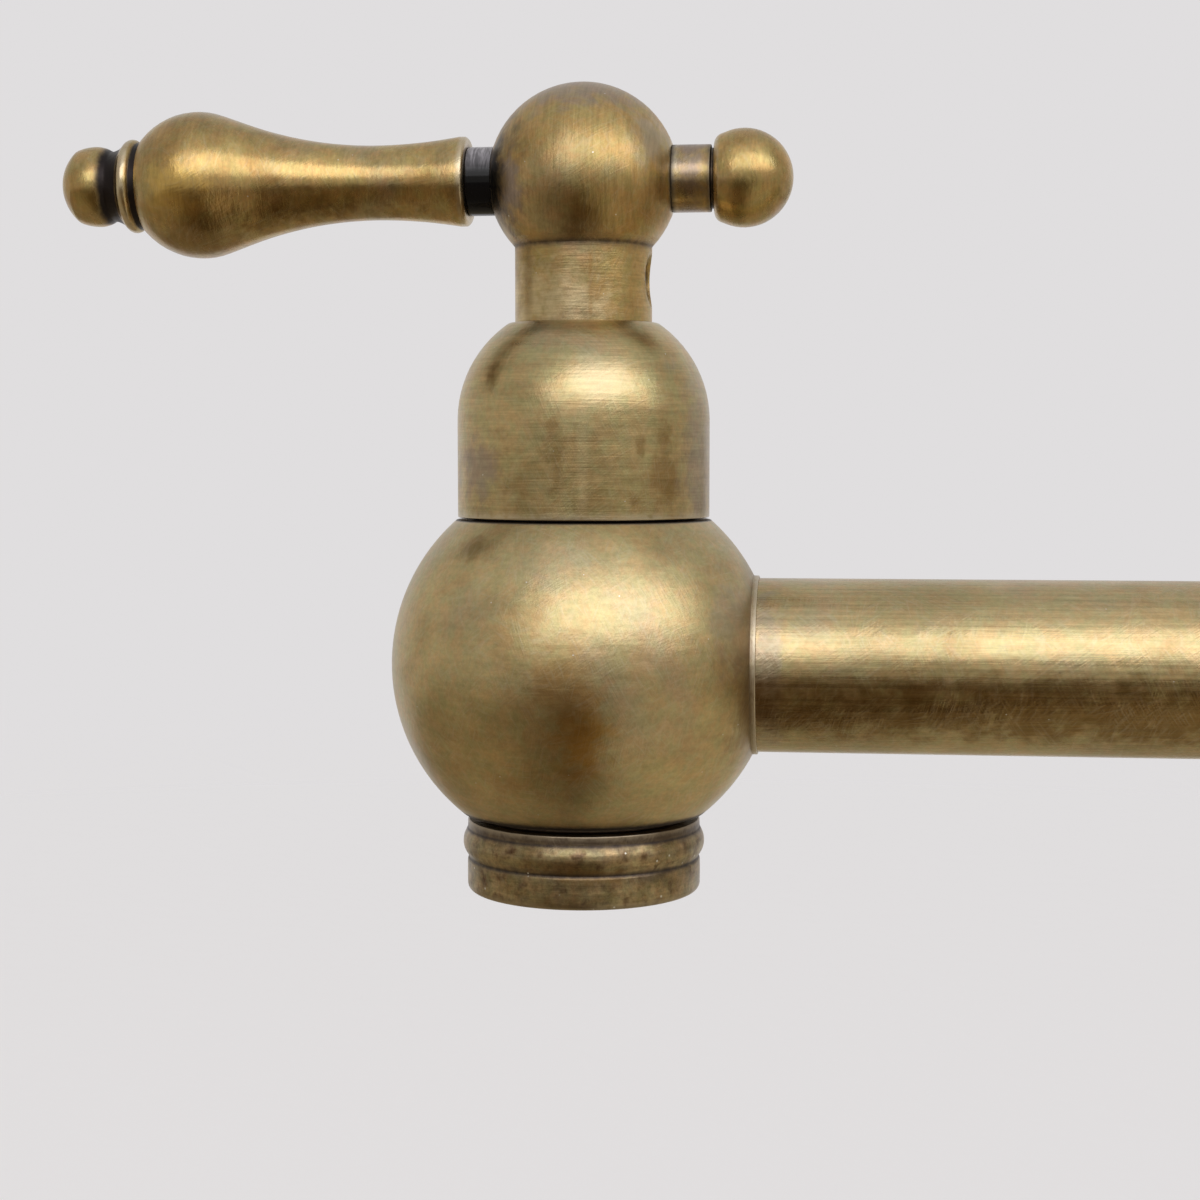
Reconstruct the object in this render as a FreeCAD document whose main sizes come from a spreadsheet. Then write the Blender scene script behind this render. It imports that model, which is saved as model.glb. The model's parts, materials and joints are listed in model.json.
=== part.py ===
"""A wall mounted pot filler: a double-jointed brass tap with two quarter-turn valves.

The frame is in millimetres. The wall is the plane y = 0, the room is toward -Y, and +Z is up.
The origin is the centre of the wall flange's back, on the inlet's axis. At rest arm 1 stands
straight out from the wall and arm 2 turns off it toward -X, with both valves shut.
"""
import FreeCAD, Part
import math
import os
import re
import Sketcher
from FreeCAD import Placement, Rotation, Vector

# ---------------------------------------------------------------- driving dimensions, in mm
SIZES = {
    # layout
    "wall_reach": 75.0,            # wall to the first swivel's axis
    "arm_1_length": 270.0,         # first swivel to the elbow swivel
    "arm_2_length": 240.0,         # elbow swivel to the outlet valve
    "arm_drop": 44.0,              # arm 1's axis below arm 2's
    # clearances
    "running_gap": 0.05,           # radial, a part that turns in a bore
    "solder_gap": 0.03,            # radial, a soldered tube in its socket
    "screw_gap": 0.05,             # radial, a thread in its hole
    "push_gap": 0.1,               # radial, a part dropped into its seat
    "lapped_gap": 0.02,            # between the two ceramic faces
    "end_float": 0.3,              # along an axis, under a clip or a retaining head
    "joint_line": 0.25,            # the dark line where a cap meets its ball
    # balls
    "ball_radius": 22.2,
    "cap_cut": 16.7,               # ball centre to the flat that carries a cap
    "foot_cut": 17.2,              # ball centre to the opposite flat
    "spigot_radius": 12.4,         # the threaded spigot that a cap screws on
    "spigot_top": 22.0,
    "swivel_spigot_top": 20.2,
    "chamber_radius": 18.7,        # hollow of a valve ball
    "seat_depth": 10.0,            # ball centre down to the valve seat
    "seat_hole": 6.0,
    "button_radius": 6.0,          # turned button under the elbow ball
    "button_height": 3.0,
    "button_crown": 1.0,
    # arm tubes
    "tube_radius": 10.0,
    "tube_bore": 8.8,
    "tube_start": 16.5,            # ball centre to the tube's end in its socket
    "solder_ring_radius": 10.9,
    "solder_ring_reach": 20.6,
    "solder_ring_root": 18.0,
    # caps
    "cap_radius": 14.5,
    "cap_wall": 2.05,
    "dome_radius": 13.4,
    "bonnet_spring": 28.0,         # height where the bonnet's dome starts
    "bonnet_top": 39.1,
    "swivel_cap_spring": 20.5,
    "swivel_cap_top": 31.6,
    "cap_ceiling": 2.4,
    # cartridge
    "cartridge_radius": 10.4,
    "thread_low": 11.5,
    "shell_radius": 9.2,
    "shell_bore": 8.15,
    "shell_low": 9.5,              # ball centre down to the shell's lower edge
    "shell_roof": 4.0,
    "window_low": 1.8,
    "window_high": 3.2,
    "window_width": 8.0,
    "flange_radius": 12.2,
    "flange_height": 0.8,
    "hex_flats": 20.0,
    "hex_height": 4.2,
    "sleeve_radius": 7.0,
    "sleeve_top": 33.5,
    "seal_height": 2.0,
    "seal_bore": 6.1,
    "disc_height": 3.0,
    "sector_inner": 2.2,
    "sector_outer": 6.6,
    "sector_half_angle": 40.0,
    "key_width": 3.0,
    "lug_width": 2.4,
    "lug_inner": 5.4,
    "lug_outer": 7.4,
    "lug_depth": 1.4,
    # spindle
    "driver_radius": 7.8,
    "driver_height": 3.0,
    "spindle_radius": 4.5,
    "spindle_ring_low": 19.0,
    "spindle_ring_pitch": 5.0,
    "ring_width": 1.9,
    "ring_depth": 1.15,
    "clip_width": 0.8,
    "clip_radius": 6.0,
    "clip_root": 3.5,
    "clip_mouth": 5.0,
    "spline_radius": 4.0,
    "spline_depth": 0.35,
    "spline_start": 37.0,
    "spindle_top": 48.0,
    # hub, lever and finial
    "hub_neck": 7.85,
    "neck_gap": 0.25,              # hub neck to the bonnet's mouth
    "hub_low": 36.5,
    "hub_ball": 10.95,
    "hub_centre": 56.3,
    "hub_socket_gap": 0.1,
    "lever_height": 55.4,
    "seat_flat": 10.2,             # hub axis to the flats that the collar and finial meet
    "seat_flat_radius": 4.2,
    "stud_radius": 2.5,
    "stud_start": 2.0,
    "stud_end": 30.0,
    "grub_height": 44.0,
    "grub_radius": 2.55,
    "grub_length": 2.9,
    "grub_hex_flats": 2.5,
    "grub_hex_depth": 1.6,
    "collar_radius": 3.9,
    "lever_start": 13.2,           # hub axis to the lever's near end
    "lever_rim_radius": 5.08,
    "lever_rim": 14.3,
    "lever_chamfer": 0.3,
    "waist_radius": 4.25,
    "waist_place": 24.0,
    "swell_radius": 6.83,
    "swell_place": 39.0,
    "shoulder_radius": 7.9,
    "shoulder_place": 42.0,
    "bulb_radius": 8.4,
    "bulb_place": 44.9,
    "bulb_end_radius": 5.5,
    "bulb_end": 51.4,
    "notch_radius": 5.1,
    "notch_end": 51.7,
    "bead_radius": 5.3,
    "bead_place": 52.4,
    "bead_curve": 1.2,
    "cove_start_radius": 4.9,
    "cove_start": 53.2,
    "cove_curve": 3.0,
    "neck_radius": 3.9,
    "neck_place": 55.4,
    "knob_root_curve": 3.2,
    "knob_radius": 4.62,
    "knob_place": 57.3,
    "knob_edge_radius": 4.2,
    "knob_edge": 59.4,
    "knob_side_curve": 5.5,
    "knob_tip": 61.35,
    "finial_stem": 3.8,
    "finial_stem_end": 13.6,
    "finial_groove": 3.45,
    "finial_ball": 5.55,
    "finial_centre": 18.35,
    # swivels
    "post_radius": 8.0,
    "post_bore": 4.5,
    "post_thread": 4.7,            # length screwed into the fixed ball
    "post_bore_end": 4.6,
    "post_hole": 3.2,
    "swivel_chamber": 13.0,
    "swivel_chamber_half": 7.0,
    "tube_port": 6.6,              # passage from a swivel chamber into the tube
    "post_ring_place": 12.0,
    "post_ring_width": 2.4,
    "post_ring_depth": 1.6,
    "recess_radius": 11.2,
    "recess_floor": 16.0,
    "retaining_radius": 10.5,
    "retaining_height": 1.5,
    "screw_head": 5.0,
    "screw_head_height": 3.4,
    "screw_radius": 3.0,
    "screw_length": 7.6,
    "screw_hex_flats": 5.0,
    "screw_hex_depth": 2.4,
    "washer_radius": 12.8,
    "washer_height": 0.75,
    "washer_float": 0.05,
    # the beaded ring shared by the swivel collars and the aerator
    "ring_top_radius": 13.4,
    "ring_bead_radius": 13.9,
    "ring_groove_radius": 13.15,
    "ring_foot_radius": 13.35,
    "ring_bead_start": 1.6,
    "ring_bead_end": 4.5,
    "ring_groove_end": 5.0,
    "ring_height": 8.1,
    "ring_edge": 0.8,
    "ring_standoff": 0.7,          # the dark gap between ball and ring
    "ring_neck": 12.0,
    # aerator
    "outlet_thread": 11.9,
    "outlet_depth": 12.0,          # ball centre down to the bottom of the outlet's thread
    "outlet_washer_height": 1.5,
    "outlet_washer_bore": 8.4,
    "aerator_bore": 10.5,
    "aerator_lip": 9.7,
    "aerator_lip_height": 0.9,
    "insert_height": 10.3,
    "insert_wall": 1.0,
    "insert_floor": 1.6,
    "slot_width": 1.1,
    "slot_length": 12.5,
    "slot_span": 11.4,             # first slot to last
    "screen_height": 0.6,
    "screen_hole": 1.0,
    "screen_hole_place": 7.0,
    # wall end
    "flange_outer": 30.0,
    "flange_hollow": 18.2,
    "flange_rim": 3.0,
    "flange_step": 28.4,
    "flange_step_height": 4.2,
    "flange_cove_start": 26.6,
    "flange_body": 20.4,
    "flange_body_start": 11.0,
    "flange_cove": 7.5,
    "flange_shoulder": 23.0,
    "flange_neck": 13.0,
    "flange_depth": 32.0,
    "flange_roof": 24.2,
    "flange_ring_place": 28.2,
    "flange_ring_width": 1.8,
    "flange_ring_depth": 1.4,
    "inlet_thread": 10.48,
    "inlet_thread_length": 16.0,
    "inlet_bore": 7.5,
    "adapter_hex_flats": 27.0,
    "adapter_hex_start": 1.0,
    "adapter_hex_end": 7.0,
    "union_thread": 13.2,
    "union_thread_wall": 2.0,
    "union_face": 15.5,
    "union_washer_height": 1.5,
    "tail_collar": 12.9,
    "tail_collar_height": 2.5,
    "nut_flats": 30.0,
    "nut_start": 8.5,
    "nut_end": 23.0,
}

# ---------------------------------------------------------------- sizes that follow from them
CAP_EDGE = "sqrt(ball_radius^2 - cap_cut^2)"
FOOT_EDGE = "sqrt(ball_radius^2 - foot_cut^2)"
POST_HOLE_RADIUS = "(post_radius + running_gap)"
POST_SOCKET_END = "(foot_cut - post_thread)"
OTHER_FOOT = "(foot_cut - arm_drop)"
POST_FOOT = "(foot_cut - arm_drop - post_thread)"
POST_END = "(recess_floor + end_float)"
RETAINING_TOP = "(recess_floor + end_float + retaining_height)"
WASHER_TOP = "(-foot_cut - washer_float)"
WASHER_LOW = "(-foot_cut - washer_float - washer_height)"
STUD_HOLE = "(stud_radius + screw_gap)"
DISC_RADIUS = "(shell_bore - push_gap)"
SEAL_TOP = "(seal_height - seat_depth)"
FIXED_TOP = "(seal_height + disc_height - seat_depth)"
MOVING_LOW = "(seal_height + disc_height + lapped_gap - seat_depth)"
MOVING_TOP = "(seal_height + 2*disc_height + lapped_gap - seat_depth)"
DRIVER_TOP = "(seal_height + 2*disc_height + lapped_gap + driver_height - seat_depth)"
HEX_LOW = "(spigot_top + flange_height)"
CLIP_LOW = "(sleeve_top + end_float)"
CLIP_TOP = "(sleeve_top + end_float + clip_width)"
CAP_BORE = "(cap_radius - cap_wall)"
DOME_CENTRE = "(cap_radius - dome_radius)"
DOME_HOLLOW = "(dome_radius - cap_wall)"
UNION_SEAT = "(union_face + union_washer_height)"
AERATOR_TOP = "(-foot_cut - ring_standoff)"
AERATOR_FOOT = "(-foot_cut - ring_standoff - ring_height)"
OUTLET_WASHER_LOW = "(-outlet_depth - outlet_washer_height)"
INSERT_LOW = "(aerator_lip_height - foot_cut - ring_standoff - ring_height)"
SPINDLE_RINGS = ("spindle_ring_low", "(spindle_ring_low + spindle_ring_pitch)")
POST_RINGS = ("(-post_ring_place)", "post_ring_place")

SPLINE_TEETH = 20
GRID_SLOTS = 7
SCREEN_HOLES = 12

document = FreeCAD.newDocument("PotFiller")
sheet = document.addObject("Spreadsheet::Sheet", "Sizes")
sub_parts = []


def fill_sheet():
    """Write every driving dimension into its own named cell."""
    for row, (name, size) in enumerate(SIZES.items(), start=1):
        sheet.set(f"A{row}", name)
        sheet.set(f"B{row}", str(size))
        sheet.setAlias(f"B{row}", name)
    document.recompute()


def in_sheet(match):
    word = match.group(0)
    return f"Sizes.{word}" if word in SIZES else word


def bound(formula):
    """The formula with each size written as a reference to its cell."""
    return re.sub(r"[a-z_][a-z_0-9]*", in_sheet, formula)


def value(formula):
    """The present number of a formula."""
    return float(sheet.evalExpression(formula))


# ---------------------------------------------------------------- sketches
START = 1       # a sketch's numbers for the points of an edge
END = 2
CENTRE = 3
RIGHT = 1       # the side of the way it goes that an arc bulges to
LEFT = -1


def origin_plane(body, role):
    for feature in body.Origin.OriginFeatures:
        if feature.Role == role:
            return feature
    raise LookupError(role)


def add_sketch(body, name, plane="XZ_Plane", lift="0"):
    """A sketch on one of the body's own origin planes, moved along its normal by a formula."""
    sketch = body.newObject("Sketcher::SketchObject", name)
    sketch.AttachmentSupport = [(origin_plane(body, plane), "")]
    sketch.MapMode = "FlatFace"
    if lift != "0":
        sketch.setExpression("AttachmentOffset.Base.z", bound(lift))
    return sketch


def constrain(sketch, kind, edge, point, formula):
    """Drive a coordinate or a radius by a formula, or hold a point on an axis where it is zero."""
    if formula == "0":
        axis = -2 if kind == "DistanceX" else -1
        sketch.addConstraint(Sketcher.Constraint("PointOnObject", edge, point, axis))
        return
    if kind == "Radius":
        constraint = Sketcher.Constraint(kind, edge, value(formula))
    else:
        constraint = Sketcher.Constraint(kind, edge, point, value(formula))
    index = sketch.addConstraint(constraint)
    sketch.setExpression(f"Constraints[{index}]", bound(formula))


def add_arc(sketch, start, end, radius, side):
    """The shorter arc from start to end that bulges to that side of the way it goes."""
    chord = end.sub(start)
    to_left = Vector(-chord.y, chord.x, 0).normalize()
    reach = math.sqrt(radius ** 2 - (chord.Length / 2) ** 2)
    centre = start.add(chord.multiply(0.5)).add(to_left.multiply(side * reach))
    first, last = (start, end) if side == RIGHT else (end, start)
    opening = math.atan2(first.y - centre.y, first.x - centre.x)
    closing = math.atan2(last.y - centre.y, last.x - centre.x)
    if closing < opening:
        closing += 2 * math.pi
    circle = Part.Circle(centre, Vector(0, 0, 1), radius)
    return sketch.addGeometry(Part.ArcOfCircle(circle, opening, closing))


def draw_loop(sketch, outline):
    """Draw a closed outline. A step is (x, y) for a line to that point, or
    (x, y, radius, side) for an arc to it, and the last point joins on to the first."""
    points = [Vector(value(step[0]), value(step[1]), 0) for step in outline]
    edges = []
    for index, step in enumerate(outline):
        start = points[index - 1]
        end = points[index]
        if len(step) == 2:
            edge = sketch.addGeometry(Part.LineSegment(start, end))
            edges.append((edge, START, END))
            continue
        edge = add_arc(sketch, start, end, value(step[2]), step[3])
        edges.append((edge, START, END) if step[3] == RIGHT else (edge, END, START))
    for index, step in enumerate(outline):
        edge, _, end = edges[index]
        following, start, _ = edges[(index + 1) % len(outline)]
        sketch.addConstraint(Sketcher.Constraint("Coincident", edge, end, following, start))
        constrain(sketch, "DistanceX", edge, end, step[0])
        constrain(sketch, "DistanceY", edge, end, step[1])
        if len(step) == 4:
            constrain(sketch, "Radius", edge, end, step[2])


def draw_circle(sketch, radius, x="0", y="0"):
    centre = Vector(value(x), value(y), 0)
    edge = sketch.addGeometry(Part.Circle(centre, Vector(0, 0, 1), value(radius)))
    constrain(sketch, "DistanceX", edge, CENTRE, x)
    constrain(sketch, "DistanceY", edge, CENTRE, y)
    constrain(sketch, "Radius", edge, CENTRE, radius)


def draw_hexagon(sketch, flats):
    """A regular hexagon about the origin, with its size across the flats."""
    corners = [(f"{flats}/sqrt(3)*cos({60 * n})", f"{flats}/sqrt(3)*sin({60 * n})") for n in range(6)]
    draw_loop(sketch, [(x, "0" if n in (0, 3) else y) for n, (x, y) in enumerate(corners)])


def box_outline(left, bottom, right, top):
    """A rectangle as a closed outline."""
    return [(left, bottom), (right, bottom), (right, top), (left, top)]


def crown_curve(radius, rise):
    """The radius of a ball's crown, centred on the axis, from its edge radius and its height."""
    return f"({radius}^2 + {rise}^2)/(2*{rise})"


def waist_curve(rise, run):
    """The radius of an arc that leaves the waist level and rises by that much along that run."""
    return f"({run}^2 + {rise}^2)/(2*{rise})"


# ---------------------------------------------------------------- features
def new_body(label):
    body = document.addObject("PartDesign::Body", label)
    body.Label = label
    sub_parts.append(body)
    return body


def turned(label, outline):
    """A lathe-turned body: the outline gives (radius, height) round the body's own Z axis."""
    body = new_body(label)
    sketch = add_sketch(body, "Section")
    draw_loop(sketch, outline)
    turning = body.newObject("PartDesign::Revolution", "Turning")
    turning.Profile = sketch
    turning.ReferenceAxis = (sketch, ["V_Axis"])
    turning.Angle = 360
    document.recompute()
    return body


def cut(body, sketch, depth, both_ways=False):
    """Pocket the sketch against its normal, or to both sides, and make sure that it cuts."""
    before = body.Shape.Volume
    pocket = body.newObject("PartDesign::Pocket", "Cut")
    pocket.Profile = sketch
    pocket.setExpression("Length", bound(depth))
    pocket.Midplane = both_ways
    document.recompute()
    if body.Shape.Volume > before - 1e-3:
        raise RuntimeError(f"{body.Label}: {sketch.Name} cuts nothing")
    return pocket


def raised(body, sketch, height):
    """Pad the sketch along its normal."""
    pad = body.newObject("PartDesign::Pad", "Raised")
    pad.Profile = sketch
    pad.setExpression("Length", bound(height))
    document.recompute()
    return pad


def repeated(body, feature, count):
    """Copy a feature evenly round the body's own Z axis."""
    pattern = body.newObject("PartDesign::PolarPattern", "Repeated")
    pattern.Originals = [feature]
    pattern.Axis = (feature.Profile[0], ["N_Axis"])
    pattern.Angle = 360
    pattern.Occurrences = count
    body.Tip = pattern
    document.recompute()


def drill_side(body, radius, start, end, height="0"):
    """Bore a round hole along the body's own X axis, from x = start back to x = end."""
    sketch = add_sketch(body, "SideHole", "YZ_Plane", start)
    draw_circle(sketch, radius, "0", height)
    cut(body, sketch, f"({start}) - ({end})")


def drill_down(body, radius, start, end, x="0", y="0"):
    """Bore a round hole along the body's own Z axis, from z = start down to z = end."""
    sketch = add_sketch(body, "Hole", "XY_Plane", start)
    draw_circle(sketch, radius, x, y)
    return cut(body, sketch, f"({start}) - ({end})")


def ring(label, inner, outer, low, high):
    return turned(label, box_outline(inner, low, outer, high))


def soft_ring_outline(inner, outer, middle, width):
    """A soft ring's section, with its corners taken off."""
    low = f"{middle} - {width}/2"
    high = f"{middle} + {width}/2"
    nick = f"{width}/4"
    return [
        (f"{inner} + {nick}", low),
        (f"{outer} - {nick}", low),
        (outer, f"{low} + {nick}"),
        (outer, f"{high} - {nick}"),
        (f"{outer} - {nick}", high),
        (f"{inner} + {nick}", high),
        (inner, f"{high} - {nick}"),
        (inner, f"{low} + {nick}"),
    ]


# ---------------------------------------------------------------- placing
def turn(degrees):
    """A turn about the vertical."""
    return Rotation(Vector(0, 0, 1), degrees)


def pointing(degrees):
    """Lay a body's own Z axis level, pointing that way round from +X."""
    return turn(degrees).multiply(Rotation(Vector(0, 1, 0), 90))


UPSIDE_DOWN = Rotation(Vector(1, 0, 0), 180)
OUT_OF_WALL = Rotation(Vector(1, 0, 0), 90)

INLET = ("0", "0", "0")
WALL_AXIS = ("0", "-wall_reach", "0")
ARM_1_START = ("0", "-wall_reach", "-arm_drop")
ARM_1_END = ("0", "-wall_reach - arm_1_length", "-arm_drop")
ELBOW_AXIS = ("0", "-wall_reach - arm_1_length", "0")
OUTLET_AXIS = ("-arm_2_length", "-wall_reach - arm_1_length", "0")


def stand(body, place, rotation, lift="0"):
    """Place a body by formulas, with its own rotation."""
    x, y, z = place
    body.Placement = Placement(Vector(), rotation)
    for axis, formula in (("x", x), ("y", y), ("z", f"{z} + {lift}")):
        body.setExpression(f"Placement.Base.{axis}", bound(formula))


# ---------------------------------------------------------------- balls and tubes
def add_tube_socket(body):
    """The side socket that an arm tube is soldered into, with its raised solder ring."""
    boss = add_sketch(body, "SolderRing", "YZ_Plane", "solder_ring_root")
    draw_circle(boss, "solder_ring_radius")
    raised(body, boss, "solder_ring_reach - solder_ring_root")
    drill_side(body, "tube_radius + solder_gap", "ball_radius + 1", "tube_start")


def valve_ball(label, lower_bore, lower_depth):
    """A hollow ball with a valve seat: water comes in at the side and leaves below the seat."""
    body = turned(label, [
        (lower_bore, "-foot_cut"),
        (FOOT_EDGE, "-foot_cut"),
        (CAP_EDGE, "cap_cut", "ball_radius", RIGHT),
        ("spigot_radius", "cap_cut"),
        ("spigot_radius", "spigot_top"),
        ("cartridge_radius + screw_gap", "spigot_top"),
        ("cartridge_radius + screw_gap", "thread_low"),
        ("sqrt(chamber_radius^2 - thread_low^2)", "thread_low"),
        ("sqrt(chamber_radius^2 - seat_depth^2)", "-seat_depth", "chamber_radius", LEFT),
        ("seat_hole", "-seat_depth"),
        ("seat_hole", f"-{lower_depth}"),
        (lower_bore, f"-{lower_depth}"),
    ])
    add_tube_socket(body)
    return body


def swivel_ball(label):
    """A ball that turns on a post: the post comes in from below and is held at the top."""
    body = turned(label, [
        (POST_HOLE_RADIUS, "-foot_cut"),
        (FOOT_EDGE, "-foot_cut"),
        (CAP_EDGE, "cap_cut", "ball_radius", RIGHT),
        ("spigot_radius", "cap_cut"),
        ("spigot_radius", "swivel_spigot_top"),
        ("recess_radius", "swivel_spigot_top"),
        ("recess_radius", "recess_floor"),
        (POST_HOLE_RADIUS, "recess_floor"),
        (POST_HOLE_RADIUS, "swivel_chamber_half"),
        ("swivel_chamber", "swivel_chamber_half"),
        ("swivel_chamber", "-swivel_chamber_half"),
        (POST_HOLE_RADIUS, "-swivel_chamber_half"),
    ])
    add_tube_socket(body)
    drill_side(body, "tube_port", "ball_radius", "swivel_chamber - 1")
    return body


def elbow_ball(label):
    """The ball at arm 1's far end: a turned button closes it below, and a post screws in above."""
    button_low = "-ball_radius - button_height"
    crown_edge = f"{button_low} + button_crown"
    crown = crown_curve("(button_radius - ring_edge)", "button_crown")
    body = turned(label, [
        ("0", button_low),
        ("button_radius - ring_edge", crown_edge, crown, RIGHT),
        ("button_radius", f"{crown_edge} + ring_edge", "ring_edge", RIGHT),
        ("button_radius", "-sqrt(ball_radius^2 - button_radius^2)"),
        (FOOT_EDGE, "foot_cut", "ball_radius", RIGHT),
        ("post_radius + screw_gap", "foot_cut"),
        ("post_radius + screw_gap", POST_SOCKET_END),
        ("seat_hole", POST_SOCKET_END),
        ("seat_hole", "swivel_chamber_half"),
        ("swivel_chamber", "swivel_chamber_half"),
        ("swivel_chamber", "-swivel_chamber_half"),
        ("0", "-swivel_chamber_half"),
    ])
    add_tube_socket(body)
    drill_side(body, "tube_port", "ball_radius", "swivel_chamber - 1")
    return body


def arm_tube(label, length):
    """A drawn tube from one ball's socket to the next."""
    return ring(label, "tube_bore", "tube_radius", "tube_start", f"{length} - tube_start")


def dome_cap(label, spring, top, mouth):
    """A domed cap that screws on a ball's spigot and ends in a flat with a round mouth."""
    ceiling = f"({top} - cap_ceiling)"
    crown = f"{DOME_CENTRE} + sqrt(dome_radius^2 - ({top} - {spring})^2)"
    hollow_crown = f"{DOME_CENTRE} + sqrt({DOME_HOLLOW}^2 - ({ceiling} - {spring})^2)"
    foot = "cap_cut + joint_line"
    return turned(label, [
        (CAP_BORE, foot),
        ("cap_radius", foot),
        ("cap_radius", spring),
        (crown, top, "dome_radius", RIGHT),
        (mouth, top),
        (mouth, ceiling),
        (hollow_crown, ceiling),
        (CAP_BORE, spring, DOME_HOLLOW, LEFT),
    ])


def beaded_ring(start, way):
    """The outline of the beaded ring, from its seat to its rounded far edge. Way is + or -."""
    half = "((ring_bead_end - ring_bead_start)/2)"
    swell = "(ring_bead_radius - (ring_top_radius + ring_groove_radius)/2)"
    bead_curve = f"({half}^2 + {swell}^2)/(2*{swell})"
    bead_side = RIGHT if way == "+" else LEFT
    return [
        ("ring_top_radius", start),
        ("ring_top_radius", f"{start} {way} ring_bead_start"),
        ("ring_groove_radius", f"{start} {way} ring_bead_end", bead_curve, bead_side),
        ("ring_groove_radius", f"{start} {way} ring_groove_end"),
        ("ring_foot_radius", f"{start} {way} ring_groove_end"),
        ("ring_foot_radius", f"{start} {way} (ring_height - ring_edge)"),
        ("ring_foot_radius - ring_edge", f"{start} {way} ring_height", "ring_edge", bead_side),
    ]


def add_ring_pair(label, inner, outer, middles, width, place, rotation):
    """Two soft rings on one shaft, as one sub-part of separate solids."""
    rings = []
    for end, middle in zip(("first", "second"), middles):
        soft_ring = turned(f"{label}_{end}", soft_ring_outline(inner, outer, middle, width))
        stand(soft_ring, place, rotation)
        sub_parts.remove(soft_ring)
        rings.append(soft_ring)
    pair = document.addObject("Part::Compound", label)
    pair.Label = label
    pair.Links = rings
    sub_parts.append(pair)


# ---------------------------------------------------------------- the ceramic valve
def open_sectors(body, top, depth):
    """Cut the two opposite quarter-turn openings down from a level."""
    cosine = "cos(sector_half_angle)"
    sine = "sin(sector_half_angle)"
    sketch = add_sketch(body, "Sector", "XY_Plane", top)
    draw_loop(sketch, [
        (f"sector_inner*{cosine}", f"-sector_inner*{sine}", "sector_inner", LEFT),
        (f"sector_outer*{cosine}", f"-sector_outer*{sine}"),
        (f"sector_outer*{cosine}", f"sector_outer*{sine}", "sector_outer", RIGHT),
        (f"sector_inner*{cosine}", f"sector_inner*{sine}"),
    ])
    repeated(body, cut(body, sketch, depth), 2)


def cartridge_body(label):
    """The threaded headwork: a hex to screw it in, and a windowed shell round the discs."""
    body = turned(label, [
        ("shell_bore", "-shell_low"),
        ("shell_radius", "-shell_low"),
        ("shell_radius", "thread_low"),
        ("cartridge_radius", "thread_low"),
        ("cartridge_radius", "spigot_top"),
        ("flange_radius", "spigot_top"),
        ("flange_radius", HEX_LOW),
        ("sleeve_radius", HEX_LOW),
        ("sleeve_radius", "sleeve_top"),
        ("spindle_radius + running_gap", "sleeve_top"),
        ("spindle_radius + running_gap", "shell_roof"),
        ("shell_bore", "shell_roof"),
    ])
    hexagon = add_sketch(body, "Hexagon", "XY_Plane", HEX_LOW)
    draw_hexagon(hexagon, "hex_flats")
    draw_circle(hexagon, "(sleeve_radius + spindle_radius)/2")
    raised(body, hexagon, "hex_height")
    windows = add_sketch(body, "Windows", "YZ_Plane")
    draw_loop(windows, box_outline("-window_width/2", "-window_low", "window_width/2", "window_high"))
    cut(body, windows, "2*shell_radius + 1", both_ways=True)
    slots = add_sketch(body, "KeySlots")
    half = "(key_width/2 + push_gap)"
    draw_loop(slots, box_outline(f"-{half}", "-shell_low - 1", half, FIXED_TOP))
    cut(body, slots, "2*shell_radius + 1", both_ways=True)
    return body


def fixed_disc(label):
    """The ceramic seat disc, held from turning by two keys in the shell's slots."""
    body = ring(label, "0", DISC_RADIUS, SEAL_TOP, FIXED_TOP)
    keys = add_sketch(body, "Keys", "XY_Plane", SEAL_TOP)
    draw_loop(keys, box_outline("-key_width/2", "-shell_radius", "key_width/2", "shell_radius"))
    raised(body, keys, "disc_height - push_gap")
    open_sectors(body, FIXED_TOP, "disc_height")
    return body


def moving_disc(label):
    """The ceramic disc that turns on the seat disc, notched for the driver's two lugs."""
    body = ring(label, "0", DISC_RADIUS, MOVING_LOW, MOVING_TOP)
    notch = add_sketch(body, "Notch", "XY_Plane", MOVING_TOP)
    half = "(lug_width/2 + push_gap)"
    draw_loop(notch, box_outline(f"-{half}", "lug_inner - push_gap", half, "shell_bore"))
    repeated(body, cut(body, notch, "lug_depth + push_gap"), 2)
    open_sectors(body, MOVING_TOP, "disc_height")
    return body


def spindle(label):
    """The spindle: a ported driver with two lugs below, two ring grooves, and a splined top."""
    outline = [
        ("0", MOVING_TOP),
        ("driver_radius", MOVING_TOP),
        ("driver_radius", DRIVER_TOP),
        ("spindle_radius", DRIVER_TOP),
    ]
    for middle in SPINDLE_RINGS:
        outline += [
            ("spindle_radius", f"{middle} - ring_width/2"),
            ("spindle_radius - ring_depth", f"{middle} - ring_width/2"),
            ("spindle_radius - ring_depth", f"{middle} + ring_width/2"),
            ("spindle_radius", f"{middle} + ring_width/2"),
        ]
    outline += [
        ("spindle_radius", CLIP_LOW),
        ("clip_root", CLIP_LOW),
        ("clip_root", CLIP_TOP),
        ("spline_radius", CLIP_TOP),
        ("spline_radius", "spindle_top"),
        ("0", "spindle_top"),
    ]
    body = turned(label, outline)
    open_sectors(body, DRIVER_TOP, "driver_height")
    lug = add_sketch(body, "Lug", "XY_Plane", f"{MOVING_TOP} - lug_depth")
    draw_loop(lug, box_outline("-lug_width/2", "lug_inner", "lug_width/2", "lug_outer"))
    repeated(body, raised(body, lug, "lug_depth + driver_height/2"), 2)
    groove = add_sketch(body, "SplineGroove", "XY_Plane", "spindle_top")
    draw_loop(groove, [
        ("spline_radius - spline_depth", "0"),
        ("spline_radius + running_gap", "-spline_depth"),
        ("spline_radius + running_gap", "spline_depth"),
    ])
    repeated(body, cut(body, groove, "spindle_top - spline_start"), SPLINE_TEETH)
    return body


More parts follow.
